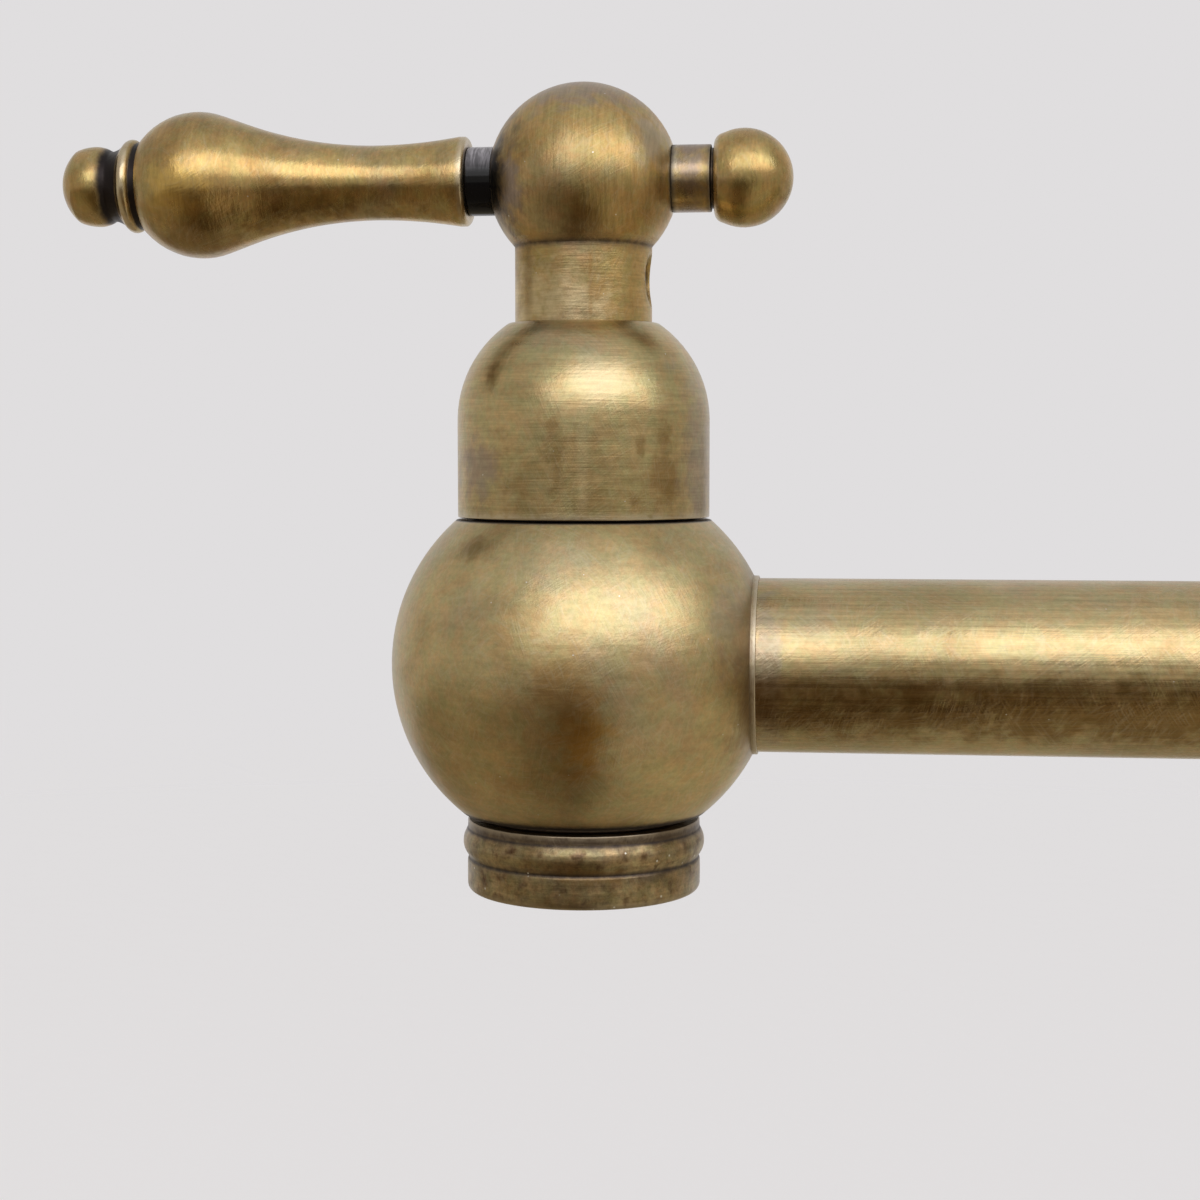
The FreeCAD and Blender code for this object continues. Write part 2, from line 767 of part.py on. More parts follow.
def spindle_clip(label):
    """The open ring that keeps the spindle from being pushed out."""
    body = ring(label, "clip_root + running_gap", "clip_radius", CLIP_LOW, CLIP_TOP)
    mouth = add_sketch(body, "Mouth", "XY_Plane", CLIP_TOP)
    draw_loop(mouth, box_outline("0", "-clip_mouth/2", "clip_radius + 1", "clip_mouth/2"))
    cut(body, mouth, "clip_width")
    return body


# ---------------------------------------------------------------- hub, lever and finial
def hub(label):
    """The handle hub: a neck round the spindle, and a ball that carries lever and finial."""
    socket = "spline_radius + hub_socket_gap"
    body = turned(label, [
        (socket, "hub_low"),
        ("hub_neck", "hub_low"),
        ("hub_neck", "hub_centre - sqrt(hub_ball^2 - hub_neck^2)"),
        ("0", "hub_centre + hub_ball", "hub_ball", RIGHT),
        ("0", "spindle_top + end_float"),
        (socket, "spindle_top + end_float"),
    ])
    drill_side(body, "seat_flat_radius", "hub_ball + 1", "seat_flat", "lever_height")
    drill_side(body, "seat_flat_radius", "-seat_flat", "-hub_ball - 1", "lever_height")
    drill_side(body, STUD_HOLE, "seat_flat + 1", "-seat_flat - 1", "lever_height")
    drill_side(body, "grub_radius + screw_gap", "0", "-hub_neck - 1", "grub_height")
    return body


def grub_screw(label):
    """The screw that clamps the hub on the spindle, with its hexagon socket outward."""
    start = "(spline_radius + running_gap)"
    end = f"({start} + grub_length)"
    body = ring(label, "0", "grub_radius", start, end)
    socket = add_sketch(body, "Socket", "XY_Plane", end)
    draw_hexagon(socket, "grub_hex_flats")
    cut(body, socket, "grub_hex_depth")
    return body


def lever(label):
    """The turned lever: a flared foot, a slim waist, a full bulb, a bead and a small knob."""
    foot_curve = waist_curve("(lever_rim_radius - waist_radius)", "(waist_place - lever_rim)")
    swell_curve = waist_curve("(swell_radius - waist_radius)", "(swell_place - waist_place)")
    bulb_curve = waist_curve("(bulb_radius - bulb_end_radius)", "(bulb_end - bulb_place)")
    return turned(label, [
        (STUD_HOLE, "lever_start"),
        ("lever_rim_radius - lever_chamfer", "lever_start"),
        ("lever_rim_radius", "lever_start + lever_chamfer"),
        ("lever_rim_radius", "lever_rim"),
        ("waist_radius", "waist_place", foot_curve, LEFT),
        ("swell_radius", "swell_place", swell_curve, LEFT),
        ("shoulder_radius", "shoulder_place"),
        ("bulb_radius", "bulb_place", bulb_curve, RIGHT),
        ("bulb_end_radius", "bulb_end", bulb_curve, RIGHT),
        ("notch_radius", "bulb_end"),
        ("notch_radius", "notch_end"),
        ("bead_radius", "bead_place"),
        ("cove_start_radius", "cove_start", "bead_curve", RIGHT),
        ("neck_radius", "neck_place", "cove_curve", LEFT),
        ("knob_radius", "knob_place", "knob_root_curve", RIGHT),
        ("knob_edge_radius", "knob_edge", "knob_side_curve", RIGHT),
        ("0", "knob_tip", crown_curve("knob_edge_radius", "(knob_tip - knob_edge)"), RIGHT),
        ("0", "stud_end + end_float"),
        (STUD_HOLE, "stud_end + end_float"),
    ])


def finial(label):
    """The ball finial on its stem, with a threaded tail."""
    ball_root = "finial_centre - sqrt(finial_ball^2 - finial_groove^2)"
    return turned(label, [
        ("0", "stud_start"),
        ("stud_radius", "stud_start"),
        ("stud_radius", "seat_flat"),
        ("finial_stem", "seat_flat"),
        ("finial_stem", "finial_stem_end"),
        ("finial_groove", "finial_stem_end"),
        ("finial_groove", ball_root),
        ("0", "finial_centre + finial_ball", "finial_ball", RIGHT),
    ])


def valve(name, place, facing):
    """One quarter-turn valve, shut. Its lever points that way round from +X."""
    still = turn(facing)
    shut = turn(facing + 90)
    outward = pointing(facing)
    backward = pointing(facing + 180)
    stand(cartridge_body(f"{name}_cartridge_body"), place, still)
    seal = ring(f"{name}_base_seal", "seal_bore", DISC_RADIUS, "-seat_depth", SEAL_TOP)
    stand(seal, place, still)
    stand(fixed_disc(f"{name}_fixed_disc"), place, still)
    stand(moving_disc(f"{name}_moving_disc"), place, shut)
    stand(spindle(f"{name}_spindle"), place, shut)
    add_ring_pair(
        f"{name}_spindle_rings", "spindle_radius - ring_depth", "spindle_radius",
        SPINDLE_RINGS, "(ring_width - push_gap)", place, still,
    )
    stand(spindle_clip(f"{name}_spindle_clip"), place, shut)
    bonnet = dome_cap(f"{name}_bonnet", "bonnet_spring", "bonnet_top", "hub_neck + neck_gap")
    stand(bonnet, place, still)
    stand(hub(f"{name}_hub"), place, still)
    stand(grub_screw(f"{name}_grub_screw"), place, backward, "grub_height")
    stud = ring(f"{name}_lever_stud", "0", "stud_radius", "stud_start", "stud_end")
    stand(stud, place, outward, "lever_height")
    collar = ring(f"{name}_lever_collar", STUD_HOLE, "collar_radius", "seat_flat", "lever_start")
    stand(collar, place, outward, "lever_height")
    stand(lever(f"{name}_lever"), place, outward, "lever_height")
    stand(finial(f"{name}_finial"), place, backward, "lever_height")


# ---------------------------------------------------------------- the swivels
def swivel_post(label):
    """The hollow post: threaded at its foot, cross drilled in the chamber, ringed either side."""
    outline = [
        ("post_bore", POST_FOOT),
        ("post_radius", POST_FOOT),
    ]
    for middle in POST_RINGS:
        outline += [
            ("post_radius", f"{middle} - post_ring_width/2"),
            ("post_radius - post_ring_depth", f"{middle} - post_ring_width/2"),
            ("post_radius - post_ring_depth", f"{middle} + post_ring_width/2"),
            ("post_radius", f"{middle} + post_ring_width/2"),
        ]
    screw_hole = "screw_radius + screw_gap"
    outline += [
        ("post_radius", POST_END),
        (screw_hole, POST_END),
        (screw_hole, f"{POST_END} - screw_length - end_float"),
        ("0", f"{POST_END} - screw_length - end_float"),
        ("0", "post_bore_end"),
        ("post_bore", "post_bore_end"),
    ]
    body = turned(label, outline)
    for plane in ("YZ_Plane", "XZ_Plane"):
        port = add_sketch(body, "Port", plane)
        draw_circle(port, "post_hole")
        cut(body, port, "2*post_radius + 1", both_ways=True)
    return body


def swivel_collar(label):
    """The beaded collar that stands between the two balls, on a narrower foot."""
    seat = f"({OTHER_FOOT} + ring_standoff)"
    return turned(label, [
        (POST_HOLE_RADIUS, OTHER_FOOT),
        ("ring_neck", OTHER_FOOT),
        ("ring_neck", seat),
        *beaded_ring(seat, "+"),
        (POST_HOLE_RADIUS, f"{seat} + ring_height"),
    ])


def retaining_screw(label):
    """The flanged screw that holds the ball on the post."""
    head_top = f"({RETAINING_TOP} + screw_head_height)"
    body = turned(label, [
        ("0", f"{POST_END} - screw_length"),
        ("screw_radius", f"{POST_END} - screw_length"),
        ("screw_radius", POST_END),
        ("retaining_radius", POST_END),
        ("retaining_radius", RETAINING_TOP),
        ("screw_head", RETAINING_TOP),
        ("screw_head", head_top),
        ("0", head_top),
    ])
    socket = add_sketch(body, "Socket", "XY_Plane", head_top)
    draw_hexagon(socket, "screw_hex_flats")
    cut(body, socket, "screw_hex_depth")
    return body


def swivel(name, ball_label, place, upright, facing):
    """A ball on its post. Upright, the post comes from below and the tube goes out that way."""
    way = Rotation() if upright else UPSIDE_DOWN
    stand(swivel_post(f"{name}_post"), place, way)
    add_ring_pair(
        f"{name}_rings", "post_radius - post_ring_depth", "post_radius",
        POST_RINGS, "(post_ring_width - push_gap)", place, way,
    )
    stand(swivel_collar(f"{name}_collar"), place, way)
    washer = ring(f"{name}_thrust_washer", POST_HOLE_RADIUS, "washer_radius", WASHER_LOW, WASHER_TOP)
    stand(washer, place, way)
    stand(retaining_screw(f"{name}_retaining_screw"), place, way)
    stand(swivel_ball(ball_label), place, turn(facing).multiply(way))
    stand(dome_cap(f"{name}_cap", "swivel_cap_spring", "swivel_cap_top", STUD_HOLE), place, way)
    lift = "swivel_cap_top - seat_flat" if upright else "seat_flat - swivel_cap_top"
    stand(finial(f"{name}_finial"), place, way, lift)


# ---------------------------------------------------------------- the outlet
def aerator_housing(label):
    """The beaded ring that screws into the outlet, with a lip that holds the insert."""
    return turned(label, [
        ("aerator_bore", OUTLET_WASHER_LOW),
        ("outlet_thread", OUTLET_WASHER_LOW),
        ("outlet_thread", AERATOR_TOP),
        *beaded_ring(AERATOR_TOP, "-"),
        ("aerator_lip", AERATOR_FOOT),
        ("aerator_lip", INSERT_LOW),
        ("aerator_bore", INSERT_LOW),
    ])


def aerator_insert(label):
    """The moulded cup whose floor is a grille: slots one way below, crossed by slots above."""
    outer = "aerator_bore - running_gap"
    floor = f"({INSERT_LOW} + insert_floor)"
    body = turned(label, [
        ("0", INSERT_LOW),
        (outer, INSERT_LOW),
        (outer, f"{INSERT_LOW} + insert_height"),
        (f"{outer} - insert_wall", f"{INSERT_LOW} + insert_height"),
        (f"{outer} - insert_wall", floor),
        ("0", floor),
    ])
    near = "-slot_span/2 - slot_width/2"
    far = "-slot_span/2 + slot_width/2"
    upright_slot = box_outline(near, "-slot_length/2", far, "slot_length/2")
    level_slot = box_outline("-slot_length/2", near, "slot_length/2", far)
    middle = f"({floor} - insert_floor/2)"
    for axis, top, outline in (("H_Axis", floor, upright_slot), ("V_Axis", middle, level_slot)):
        slot = add_sketch(body, "Slot", "XY_Plane", top)
        draw_loop(slot, outline)
        first = cut(body, slot, "insert_floor/2")
        row = body.newObject("PartDesign::LinearPattern", "SlotRow")
        row.Originals = [first]
        row.Direction = (slot, [axis])
        row.setExpression("Length", bound("slot_span"))
        row.Occurrences = GRID_SLOTS
        body.Tip = row
        document.recompute()
    return body


def aerator_screen(label):
    """The perforated disc that lies on the insert."""
    low = f"({INSERT_LOW} + insert_height)"
    body = ring(label, "0", "aerator_bore - running_gap", low, f"{low} + screen_height")
    hole = drill_down(body, "screen_hole", f"{low} + screen_height", low, "screen_hole_place")
    repeated(body, hole, SCREEN_HOLES)
    return body


# ---------------------------------------------------------------- the wall end
def wall_flange(label):
    """The bell that hides the union: a stepped rim, a cove, and a neck that grips the tail."""
    hole = "(tube_radius + push_gap)"
    root = f"({hole} + flange_ring_depth)"
    groove_low = "flange_ring_place - flange_ring_width/2"
    groove_high = "flange_ring_place + flange_ring_width/2"
    neck_start = "flange_shoulder + flange_body - flange_neck"
    return turned(label, [
        ("flange_hollow", "0"),
        ("flange_outer", "0"),
        ("flange_outer", "flange_rim"),
        ("flange_step", "flange_step_height", "2*(flange_outer - flange_step)", RIGHT),
        ("flange_cove_start", "flange_step_height"),
        ("flange_body", "flange_body_start", "flange_cove", LEFT),
        ("flange_body", "flange_shoulder"),
        ("flange_neck", neck_start, "flange_body - flange_neck", RIGHT),
        ("flange_neck", "flange_depth"),
        (hole, "flange_depth"),
        (hole, groove_high),
        (root, groove_high),
        (root, groove_low),
        (hole, groove_low),
        (hole, "flange_roof"),
        ("flange_hollow", "flange_roof"),
    ])


def wall_adapter(label):
    """The fitting in the wall: a male pipe thread behind, a hex, and the union's thread in front."""
    body = turned(label, [
        ("inlet_bore", "-inlet_thread_length"),
        ("inlet_thread", "-inlet_thread_length"),
        ("inlet_thread", "adapter_hex_start"),
        ("union_thread", "adapter_hex_start"),
        ("union_thread", "union_face"),
        ("inlet_bore", "union_face"),
    ])
    hexagon = add_sketch(body, "Hexagon", "XY_Plane", "adapter_hex_start")
    draw_hexagon(hexagon, "adapter_hex_flats")
    draw_circle(hexagon, "union_thread - union_thread_wall")
    raised(body, hexagon, "adapter_hex_end - adapter_hex_start")
    return body


def union_nut(label):
    """The nut that draws the tail's collar against the adapter."""
    body = new_body(label)
    hexagon = add_sketch(body, "Hexagon", "XY_Plane", "nut_start")
    draw_hexagon(hexagon, "nut_flats")
    draw_circle(hexagon, "tube_radius + push_gap")
    raised(body, hexagon, "nut_end - nut_start")
    shoulder = f"{UNION_SEAT} + tail_collar_height"
    drill_down(body, "union_thread + screw_gap", shoulder, "nut_start")
    return body


def inlet_tail(label):
    """The collared tube from the union into the wall valve's ball."""
    return turned(label, [
        ("tube_bore", UNION_SEAT),
        ("tail_collar", UNION_SEAT),
        ("tail_collar", f"{UNION_SEAT} + tail_collar_height"),
        ("tube_radius", f"{UNION_SEAT} + tail_collar_height"),
        ("tube_radius", "wall_reach - tube_start"),
        ("tube_bore", "wall_reach - tube_start"),
    ])


# ---------------------------------------------------------------- the assembly
def build_wall_end():
    for piece in (
        wall_flange("wall_flange"),
        wall_adapter("wall_adapter"),
        ring("union_washer", "tube_bore", "tail_collar", "union_face", UNION_SEAT),
        union_nut("union_nut"),
        inlet_tail("inlet_tail"),
    ):
        stand(piece, INLET, OUT_OF_WALL)
    grip = turned("flange_ring", soft_ring_outline(
        "(tube_radius + solder_gap)", "(tube_radius + push_gap + flange_ring_depth)",
        "flange_ring_place", "(flange_ring_width - push_gap)",
    ))
    stand(grip, INLET, OUT_OF_WALL)
    ball = valve_ball("wall_valve_ball", "post_radius + screw_gap", POST_SOCKET_END)
    stand(ball, WALL_AXIS, turn(90))
    valve("wall", WALL_AXIS, facing=180)


def build_arms():
    swivel("wall_swivel", "arm_1_wall_ball", ARM_1_START, upright=False, facing=270)
    stand(arm_tube("arm_1_tube", "arm_1_length"), ARM_1_START, pointing(270))
    stand(elbow_ball("arm_1_elbow_ball"), ARM_1_END, turn(90))
    swivel("elbow_swivel", "arm_2_elbow_ball", ELBOW_AXIS, upright=True, facing=180)
    stand(arm_tube("arm_2_tube", "arm_2_length"), ELBOW_AXIS, pointing(180))


def build_outlet():
    ball = valve_ball("outlet_valve_ball", "outlet_thread + screw_gap", "outlet_depth")
    stand(ball, OUTLET_AXIS, turn(0))
    valve("outlet", OUTLET_AXIS, facing=180)
    washer_rim = "outlet_thread - running_gap"
    for piece in (
        ring("aerator_washer", "outlet_washer_bore", washer_rim, OUTLET_WASHER_LOW, "-outlet_depth"),
        aerator_screen("aerator_screen"),
        aerator_insert("aerator_insert"),
        aerator_housing("aerator_housing"),
    ):
        stand(piece, OUTLET_AXIS, turn(0))


def check_document():
    """Stop if any feature failed or any sub-part isn't a sound solid."""
    for item in document.Objects:
        if "Invalid" in item.State or "Error" in item.State:
            raise RuntimeError(f"{item.Name} ({item.Label}): {item.State}")
    for part in sub_parts:
        if part.Shape.isNull() or not part.Shape.isValid():
            raise RuntimeError(f"{part.Label} has no sound shape")


def export_parts():
    os.makedirs("parts", exist_ok=True)
    for part in sub_parts:
        part.Shape.exportStep(f"parts/{part.Label}.step")


fill_sheet()
build_wall_end()
build_arms()
build_outlet()
document.recompute()
check_document()
export_parts()
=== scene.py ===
"""The looks of a wall mounted pot filler in aged brass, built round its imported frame.

Outlines are (radius, height) in millimetres, measured on a piece's own axis. Every mesh is
written in the frame's metres, where -Y is out of the wall and +Z is up.
"""

import json
import logging
import math
from collections.abc import Callable, Sequence
from dataclasses import dataclass, field, replace
from enum import Enum

import bpy
import numpy as np
from mathutils import Euler, Matrix, Vector
from mathutils.kdtree import KDTree


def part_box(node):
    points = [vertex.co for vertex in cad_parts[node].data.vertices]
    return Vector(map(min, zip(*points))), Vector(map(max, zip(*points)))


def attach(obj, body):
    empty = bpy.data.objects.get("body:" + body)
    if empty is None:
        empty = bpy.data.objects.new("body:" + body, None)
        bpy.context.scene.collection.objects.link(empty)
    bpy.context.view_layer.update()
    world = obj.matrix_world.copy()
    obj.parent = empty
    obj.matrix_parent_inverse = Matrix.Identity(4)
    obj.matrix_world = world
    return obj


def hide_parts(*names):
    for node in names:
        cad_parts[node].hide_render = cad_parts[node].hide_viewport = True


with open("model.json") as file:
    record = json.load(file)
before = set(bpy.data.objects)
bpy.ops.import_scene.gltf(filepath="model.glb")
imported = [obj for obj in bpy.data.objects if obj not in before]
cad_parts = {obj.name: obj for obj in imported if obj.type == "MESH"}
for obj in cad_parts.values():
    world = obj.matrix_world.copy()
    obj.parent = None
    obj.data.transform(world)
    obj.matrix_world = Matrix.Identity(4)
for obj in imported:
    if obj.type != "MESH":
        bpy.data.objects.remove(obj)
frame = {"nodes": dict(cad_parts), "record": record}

LOG = logging.getLogger("pot_filler")
MM = 0.001
SEAM_REACH = 3.0                # mm, how far round a seam its attribute runs

Colour = tuple[float, float, float]
Step = tuple
Shift = Callable[[np.ndarray, np.ndarray, np.ndarray], np.ndarray]
Feed = bpy.types.NodeSocket | float | Sequence[float]


# ---------------------------------------------------------------- turned outlines
class Bulge(Enum):
    """The side of the way it goes that an arc of an outline bulges to."""

    RIGHT = 1
    LEFT = -1


def level_arc(run: float, rise: float) -> float:
    """The radius of an arc that starts level and moves off by that rise along that run."""
    return (run ** 2 + rise ** 2) / (2 * rise)


def side_of(hypotenuse: float, other: float) -> float:
    """The third side of a right triangle."""
    return math.sqrt(hypotenuse ** 2 - other ** 2)


class Profile:
    """A turned outline with its corners eased by polishing.

    It keeps, for each point, the way along the outline and how far it stands out of or lies
    in its surroundings: where patina is rubbed off, and where patina and painted shade stay dark.
    """

    SPACING = 0.04      # mm between points before they are thinned
    REACH = 0.6         # mm, the size of the beads and coves that patina and painted shade follow
    TURN = math.radians(6)

    def __init__(self, steps: Sequence[Step], easing: float = 0.1, longest: float = 1.0,
                 dark: Sequence[tuple[float, float, float]] = ()) -> None:
        """Trace, ease and thin the outline.

        Args:
            steps: (radius, height) for a line to that point, or (radius, height, curve, Bulge)
                for an arc to it. An outline that starts and ends on the axis is open.
            easing: how far corners are rounded, in mm.
            longest: the longest step between two points that are kept, in mm.
            dark: places (radius, height, reach) round which the finish darkens, in mm: patina and
                painted shade in joints and gaps.
        """
        self.open = steps[0][0] == 0.0
        points = self._evenly(self._traced(steps))
        following = np.roll(points, -1, axis=0)
        area = np.sum(points[:, 0] * following[:, 1] - following[:, 0] * points[:, 1])
        if area < 0:
            points = points[::-1]
        points = self._blurred(points, easing)
        ends = "edge" if self.open else "wrap"
        padded = np.pad(points, ((1, 1), (0, 0)), mode=ends)
        tangent = padded[2:] - padded[:-2]
        normal = np.column_stack([tangent[:, 1], -tangent[:, 0]])
        normal /= np.maximum(np.linalg.norm(normal, axis=1, keepdims=True), 1e-9)
        dip = np.sum((self._blurred(points, self.REACH) - points) * normal, axis=1)
        if self.open:
            points[[0, -1], 0] = 0.0
        self.points = points
        self.along = np.arange(len(points)) * self.SPACING
        self.wear = np.clip((-dip - 0.045) / 0.2, 0.0, 1.0)
        self.cove = np.clip((dip - 0.02) / 0.14, 0.0, 1.0)
        for radius, height, reach in dark:
            away = np.hypot(points[:, 0] - radius, points[:, 1] - height)
            self.cove = np.maximum(self.cove, np.clip(1.15 - away / reach, 0.0, 1.0))
        self.kept = self._thinned(points, longest)

    @staticmethod
    def _traced(steps: Sequence[Step]) -> np.ndarray:
        """The outline as points, with each arc divided finely."""
        closed = steps[0][0] != 0.0
        start = np.array(steps[-1][:2] if closed else steps[0][:2], float)
        points = [] if closed else [start]
        for step in steps[0 if closed else 1:]:
            end = np.array(step[:2], float)
            if len(step) == 2:
                points.append(end)
                start = end
                continue
            chord = end - start
            length = np.linalg.norm(chord)
            left = np.array((-chord[1], chord[0])) / length
            reach = math.sqrt(max(step[2] ** 2 - (length / 2) ** 2, 0.0))
            centre = start + chord / 2 + left * (step[3].value * reach)
            first = math.atan2(*(start - centre)[::-1])
            sweep = (math.atan2(*(end - centre)[::-1]) - first + math.pi) % (2 * math.pi) - math.pi
            for part in np.linspace(0, 1, max(3, int(abs(sweep) * step[2] / 0.1)))[1:]:
                angle = first + sweep * part
                points.append(centre + step[2] * np.array((math.cos(angle), math.sin(angle))))
            start = end
        return np.array(points)

    def _evenly(self, points: np.ndarray) -> np.ndarray:
        """The same line as evenly spaced points."""
        line = points if self.open else np.vstack([points, points[:1]])
        along = np.concatenate([[0.0], np.cumsum(np.hypot(*np.diff(line, axis=0).T))])
        marks = np.linspace(0, along[-1], max(12, round(along[-1] / self.SPACING)) + 1)
        marks = marks if self.open else marks[:-1]
        return np.column_stack([np.interp(marks, along, line[:, k]) for k in (0, 1)])

    def _blurred(self, points: np.ndarray, width: float) -> np.ndarray:
        """The line blurred along itself. An open one goes on, mirrored, across the axis."""
        half = min(int(3.5 * width / self.SPACING) + 1, len(points) - 2)
        weights = np.exp(-0.5 * (np.arange(-half, half + 1) * self.SPACING / width) ** 2)
        weights /= weights.sum()
        if self.open:
            mirror = points * (-1, 1)
            padded = np.concatenate([mirror[half:0:-1], points, mirror[-2:-half - 2:-1]])
        else:
            padded = np.pad(points, ((half, half), (0, 0)), mode="wrap")
        return np.column_stack([np.convolve(padded[:, k], weights, "valid") for k in (0, 1)])

    def _thinned(self, points: np.ndarray, longest: float) -> np.ndarray:
        """The indices of the points that the line's turns and its longest step need."""
        steps = np.diff(points, axis=0)
        heading = np.unwrap(np.arctan2(steps[:, 1], steps[:, 0]))
        kept = [0]
        for index in range(1, len(points) - 1):
            turned = abs(heading[index] - heading[kept[-1]])
            if turned > self.TURN or (index - kept[-1]) * self.SPACING >= longest:
                kept.append(index)
        if len(points) - 1 - kept[-1] < 3:
            kept.pop()
        return np.array([*kept, len(points) - 1])


def standing(place: Vector, way: Vector | None = None) -> Matrix:
    """Where a turned piece stands, in mm: its axis starts at place and points that way."""
    turn = Matrix.Identity(4) if way is None else way.to_track_quat("Z", "Y").to_matrix().to_4x4()
    return Matrix.Translation(place) @ turn


def spun(name: str, profile: Profile, stand: Matrix, shift: Shift | None = None,
         chord: float = 0.9) -> bpy.types.Object:
    """Spin an outline into a mesh, with its patina's attributes.

    Args:
        name: the object's name.
        profile: the outline.
        stand: where its axis stands, in mm.
        shift: gives how far each point moves outward, from its angle, radius and height.
        chord: the longest step round the axis, in mm.

    Returns:
        The new object, linked to the scene.
    """
    kept = profile.kept
    radii, heights = profile.points[kept].T
    lengths, wears, coves = profile.along[kept], profile.wear[kept], profile.cove[kept]
    around = int(np.clip(2 * math.pi * radii.max() / chord, 48, 200) // 12 * 12)
    angles = np.arange(around) * 2 * math.pi / around
    first, last = (1, len(radii) - 1) if profile.open else (0, len(radii))
    radius = np.repeat(radii[first:last, None], around, axis=1)
    height = np.repeat(heights[first:last, None], around, axis=1)
    angle = np.repeat(angles[None, :], last - first, axis=0)
    if shift is not None:
        radius = radius + shift(angle, radius, height)
    points = np.stack([radius * np.cos(angle), radius * np.sin(angle), height], axis=-1)
    points = points.reshape(-1, 3)
    rings = last - first
    grid = np.arange(rings * around).reshape(rings, around)
    after = np.roll(grid, -1, axis=1)
    low, high = (slice(0, -1), slice(1, None)) if profile.open else (slice(None), None)
    above = grid[high] if profile.open else np.roll(grid, -1, axis=0)
    above_after = after[high] if profile.open else np.roll(after, -1, axis=0)
    quads = np.stack([grid[low], after[low], above_after, above], axis=-1).reshape(-1, 4)
    faces = quads.tolist()
    marks = np.column_stack([
        np.tile(np.cos(angles), rings), np.tile(np.sin(angles), rings),
        np.repeat(lengths[first:last], around),
    ])
    wear = np.repeat(wears[first:last], around)
    cove = np.repeat(coves[first:last], around)
    if profile.open:
        bottom, top = rings * around, rings * around + 1
        points = np.vstack([points, (0, 0, heights[0]), (0, 0, heights[-1])])
        marks = np.vstack([marks, (0, 0, lengths[0]), (0, 0, lengths[-1])])
        wear = np.append(wear, wears[[0, -1]])
        cove = np.append(cove, coves[[0, -1]])
        faces += [[bottom, int(b), int(a)] for a, b in zip(grid[0], after[0])]
        faces += [[top, int(a), int(b)] for a, b in zip(grid[-1], after[-1])]
    turn = np.array(stand.to_3x3())
    placed = (points @ turn.T + np.array(stand.translation)) * MM
    mesh = bpy.data.meshes.new(name)
    mesh.from_pydata(placed.tolist(), [], faces)
    write_marks(mesh, marks, wear, cove)
    mesh.shade_smooth()
    piece = bpy.data.objects.new(name, mesh)
    bpy.context.scene.collection.objects.link(piece)
    return piece


def write_marks(mesh: bpy.types.Mesh, marks: np.ndarray, wear: np.ndarray, cove: np.ndarray,
                seam: np.ndarray | None = None, rim: np.ndarray | None = None) -> None:
    """Write the attributes that the finishes read.

    Args:
        mesh: the mesh that gets them.
        marks: each point's direction round the axis and way along the outline.
        wear: how far it stands out, from 0 to 1.
        cove: how far it lies in, from 0 to 1.
        seam: how near it is to a joined form, from 0 at SEAM_REACH to 1.
        rim: how near it is to a cut, in the same way.
    """
    none = np.zeros(len(wear))
    for name, kind, key, values in (
        ("turned", "FLOAT_VECTOR", "vector", marks),
        ("wear", "FLOAT", "value", wear),
        ("cove", "FLOAT", "value", cove),
        ("seam", "FLOAT", "value", none if seam is None else seam),
        ("rim", "FLOAT", "value", none if rim is None else rim),
    ):
        attribute = mesh.attributes.get(name) or mesh.attributes.new(name, kind, "POINT")
        attribute.data.foreach_set(key, np.asarray(values, np.float32).ravel())


class Carving(Enum):
    """How a second form changes a piece, and what gathers at the seam."""

    JOIN = "UNION"
    CUT = "DIFFERENCE"


def carved(piece: bpy.types.Object, tool: bpy.types.Object, how: Carving) -> None:
    """Join a second form to a piece, or cut it away, and delete it."""
    modifier = piece.modifiers.new("carving", "BOOLEAN")
    modifier.object = tool
    modifier.operation = how.value
    modifier.solver = "EXACT"
    graph = bpy.context.evaluated_depsgraph_get()
    mesh = bpy.data.meshes.new_from_object(piece.evaluated_get(graph))
    piece.modifiers.clear()
    piece.data = mesh
    bpy.data.objects.remove(tool)


def remarked(piece: bpy.types.Object, sources: Sequence[tuple[Profile, Matrix, Carving]]) -> None:
    """Write the patina's attributes again after carving.

    Args:
        piece: the carved piece.
        sources: the outlines that its surface comes from, where each stands, and whether it
            was joined or cut. Each point follows the nearest. Near a second one, it lies in a
            seam's corner where that was joined, and on an edge where it was cut.
    """
    points = np.array([v.co for v in piece.data.vertices]) / MM
    count = len(points)
    gaps = np.empty((len(sources), count))
    marks = np.empty((len(sources), count, 3))
    wear = np.empty((len(sources), count))
    cove = np.empty((len(sources), count))
    for row, (profile, stand, _) in enumerate(sources):
        local = (points - np.array(stand.translation)) @ np.array(stand.to_3x3())
        radius = np.hypot(local[:, 0], local[:, 1])
        tree = KDTree(len(profile.points))
        for index, (r, h) in enumerate(profile.points):
            tree.insert((r, h, 0), index)
        tree.balance()
        near = [tree.find((r, h, 0)) for r, h in zip(radius, local[:, 2])]
        nearest = np.array([found[1] for found in near])
        gaps[row] = [found[2] for found in near]
        around = local[:, :2] / np.maximum(radius, 1e-6)[:, None]
        marks[row] = np.column_stack([around, profile.along[nearest]])
        wear[row], cove[row] = profile.wear[nearest], profile.cove[nearest]
    best, each = np.argmin(gaps, axis=0), np.arange(count)
    others = gaps.copy()
    others[best, each] = np.inf
    cut = np.array([how is Carving.CUT for _, _, how in sources])
    outside = ~cut[best]
    to_cut = np.where(outside, np.min(np.where(cut[:, None], others, np.inf), axis=0), np.inf)
    to_joined = np.where(outside, np.min(np.where(cut[:, None], np.inf, others), axis=0), np.inf)
    seam, rim = (np.clip(1 - gap / SEAM_REACH, 0, 1) for gap in (to_joined, to_cut))
    write_marks(piece.data, marks[best, each], wear[best, each], cove[best, each], seam, rim)
    piece.data.shade_smooth()
    piece.data.set_sharp_from_angle(angle=math.radians(35))


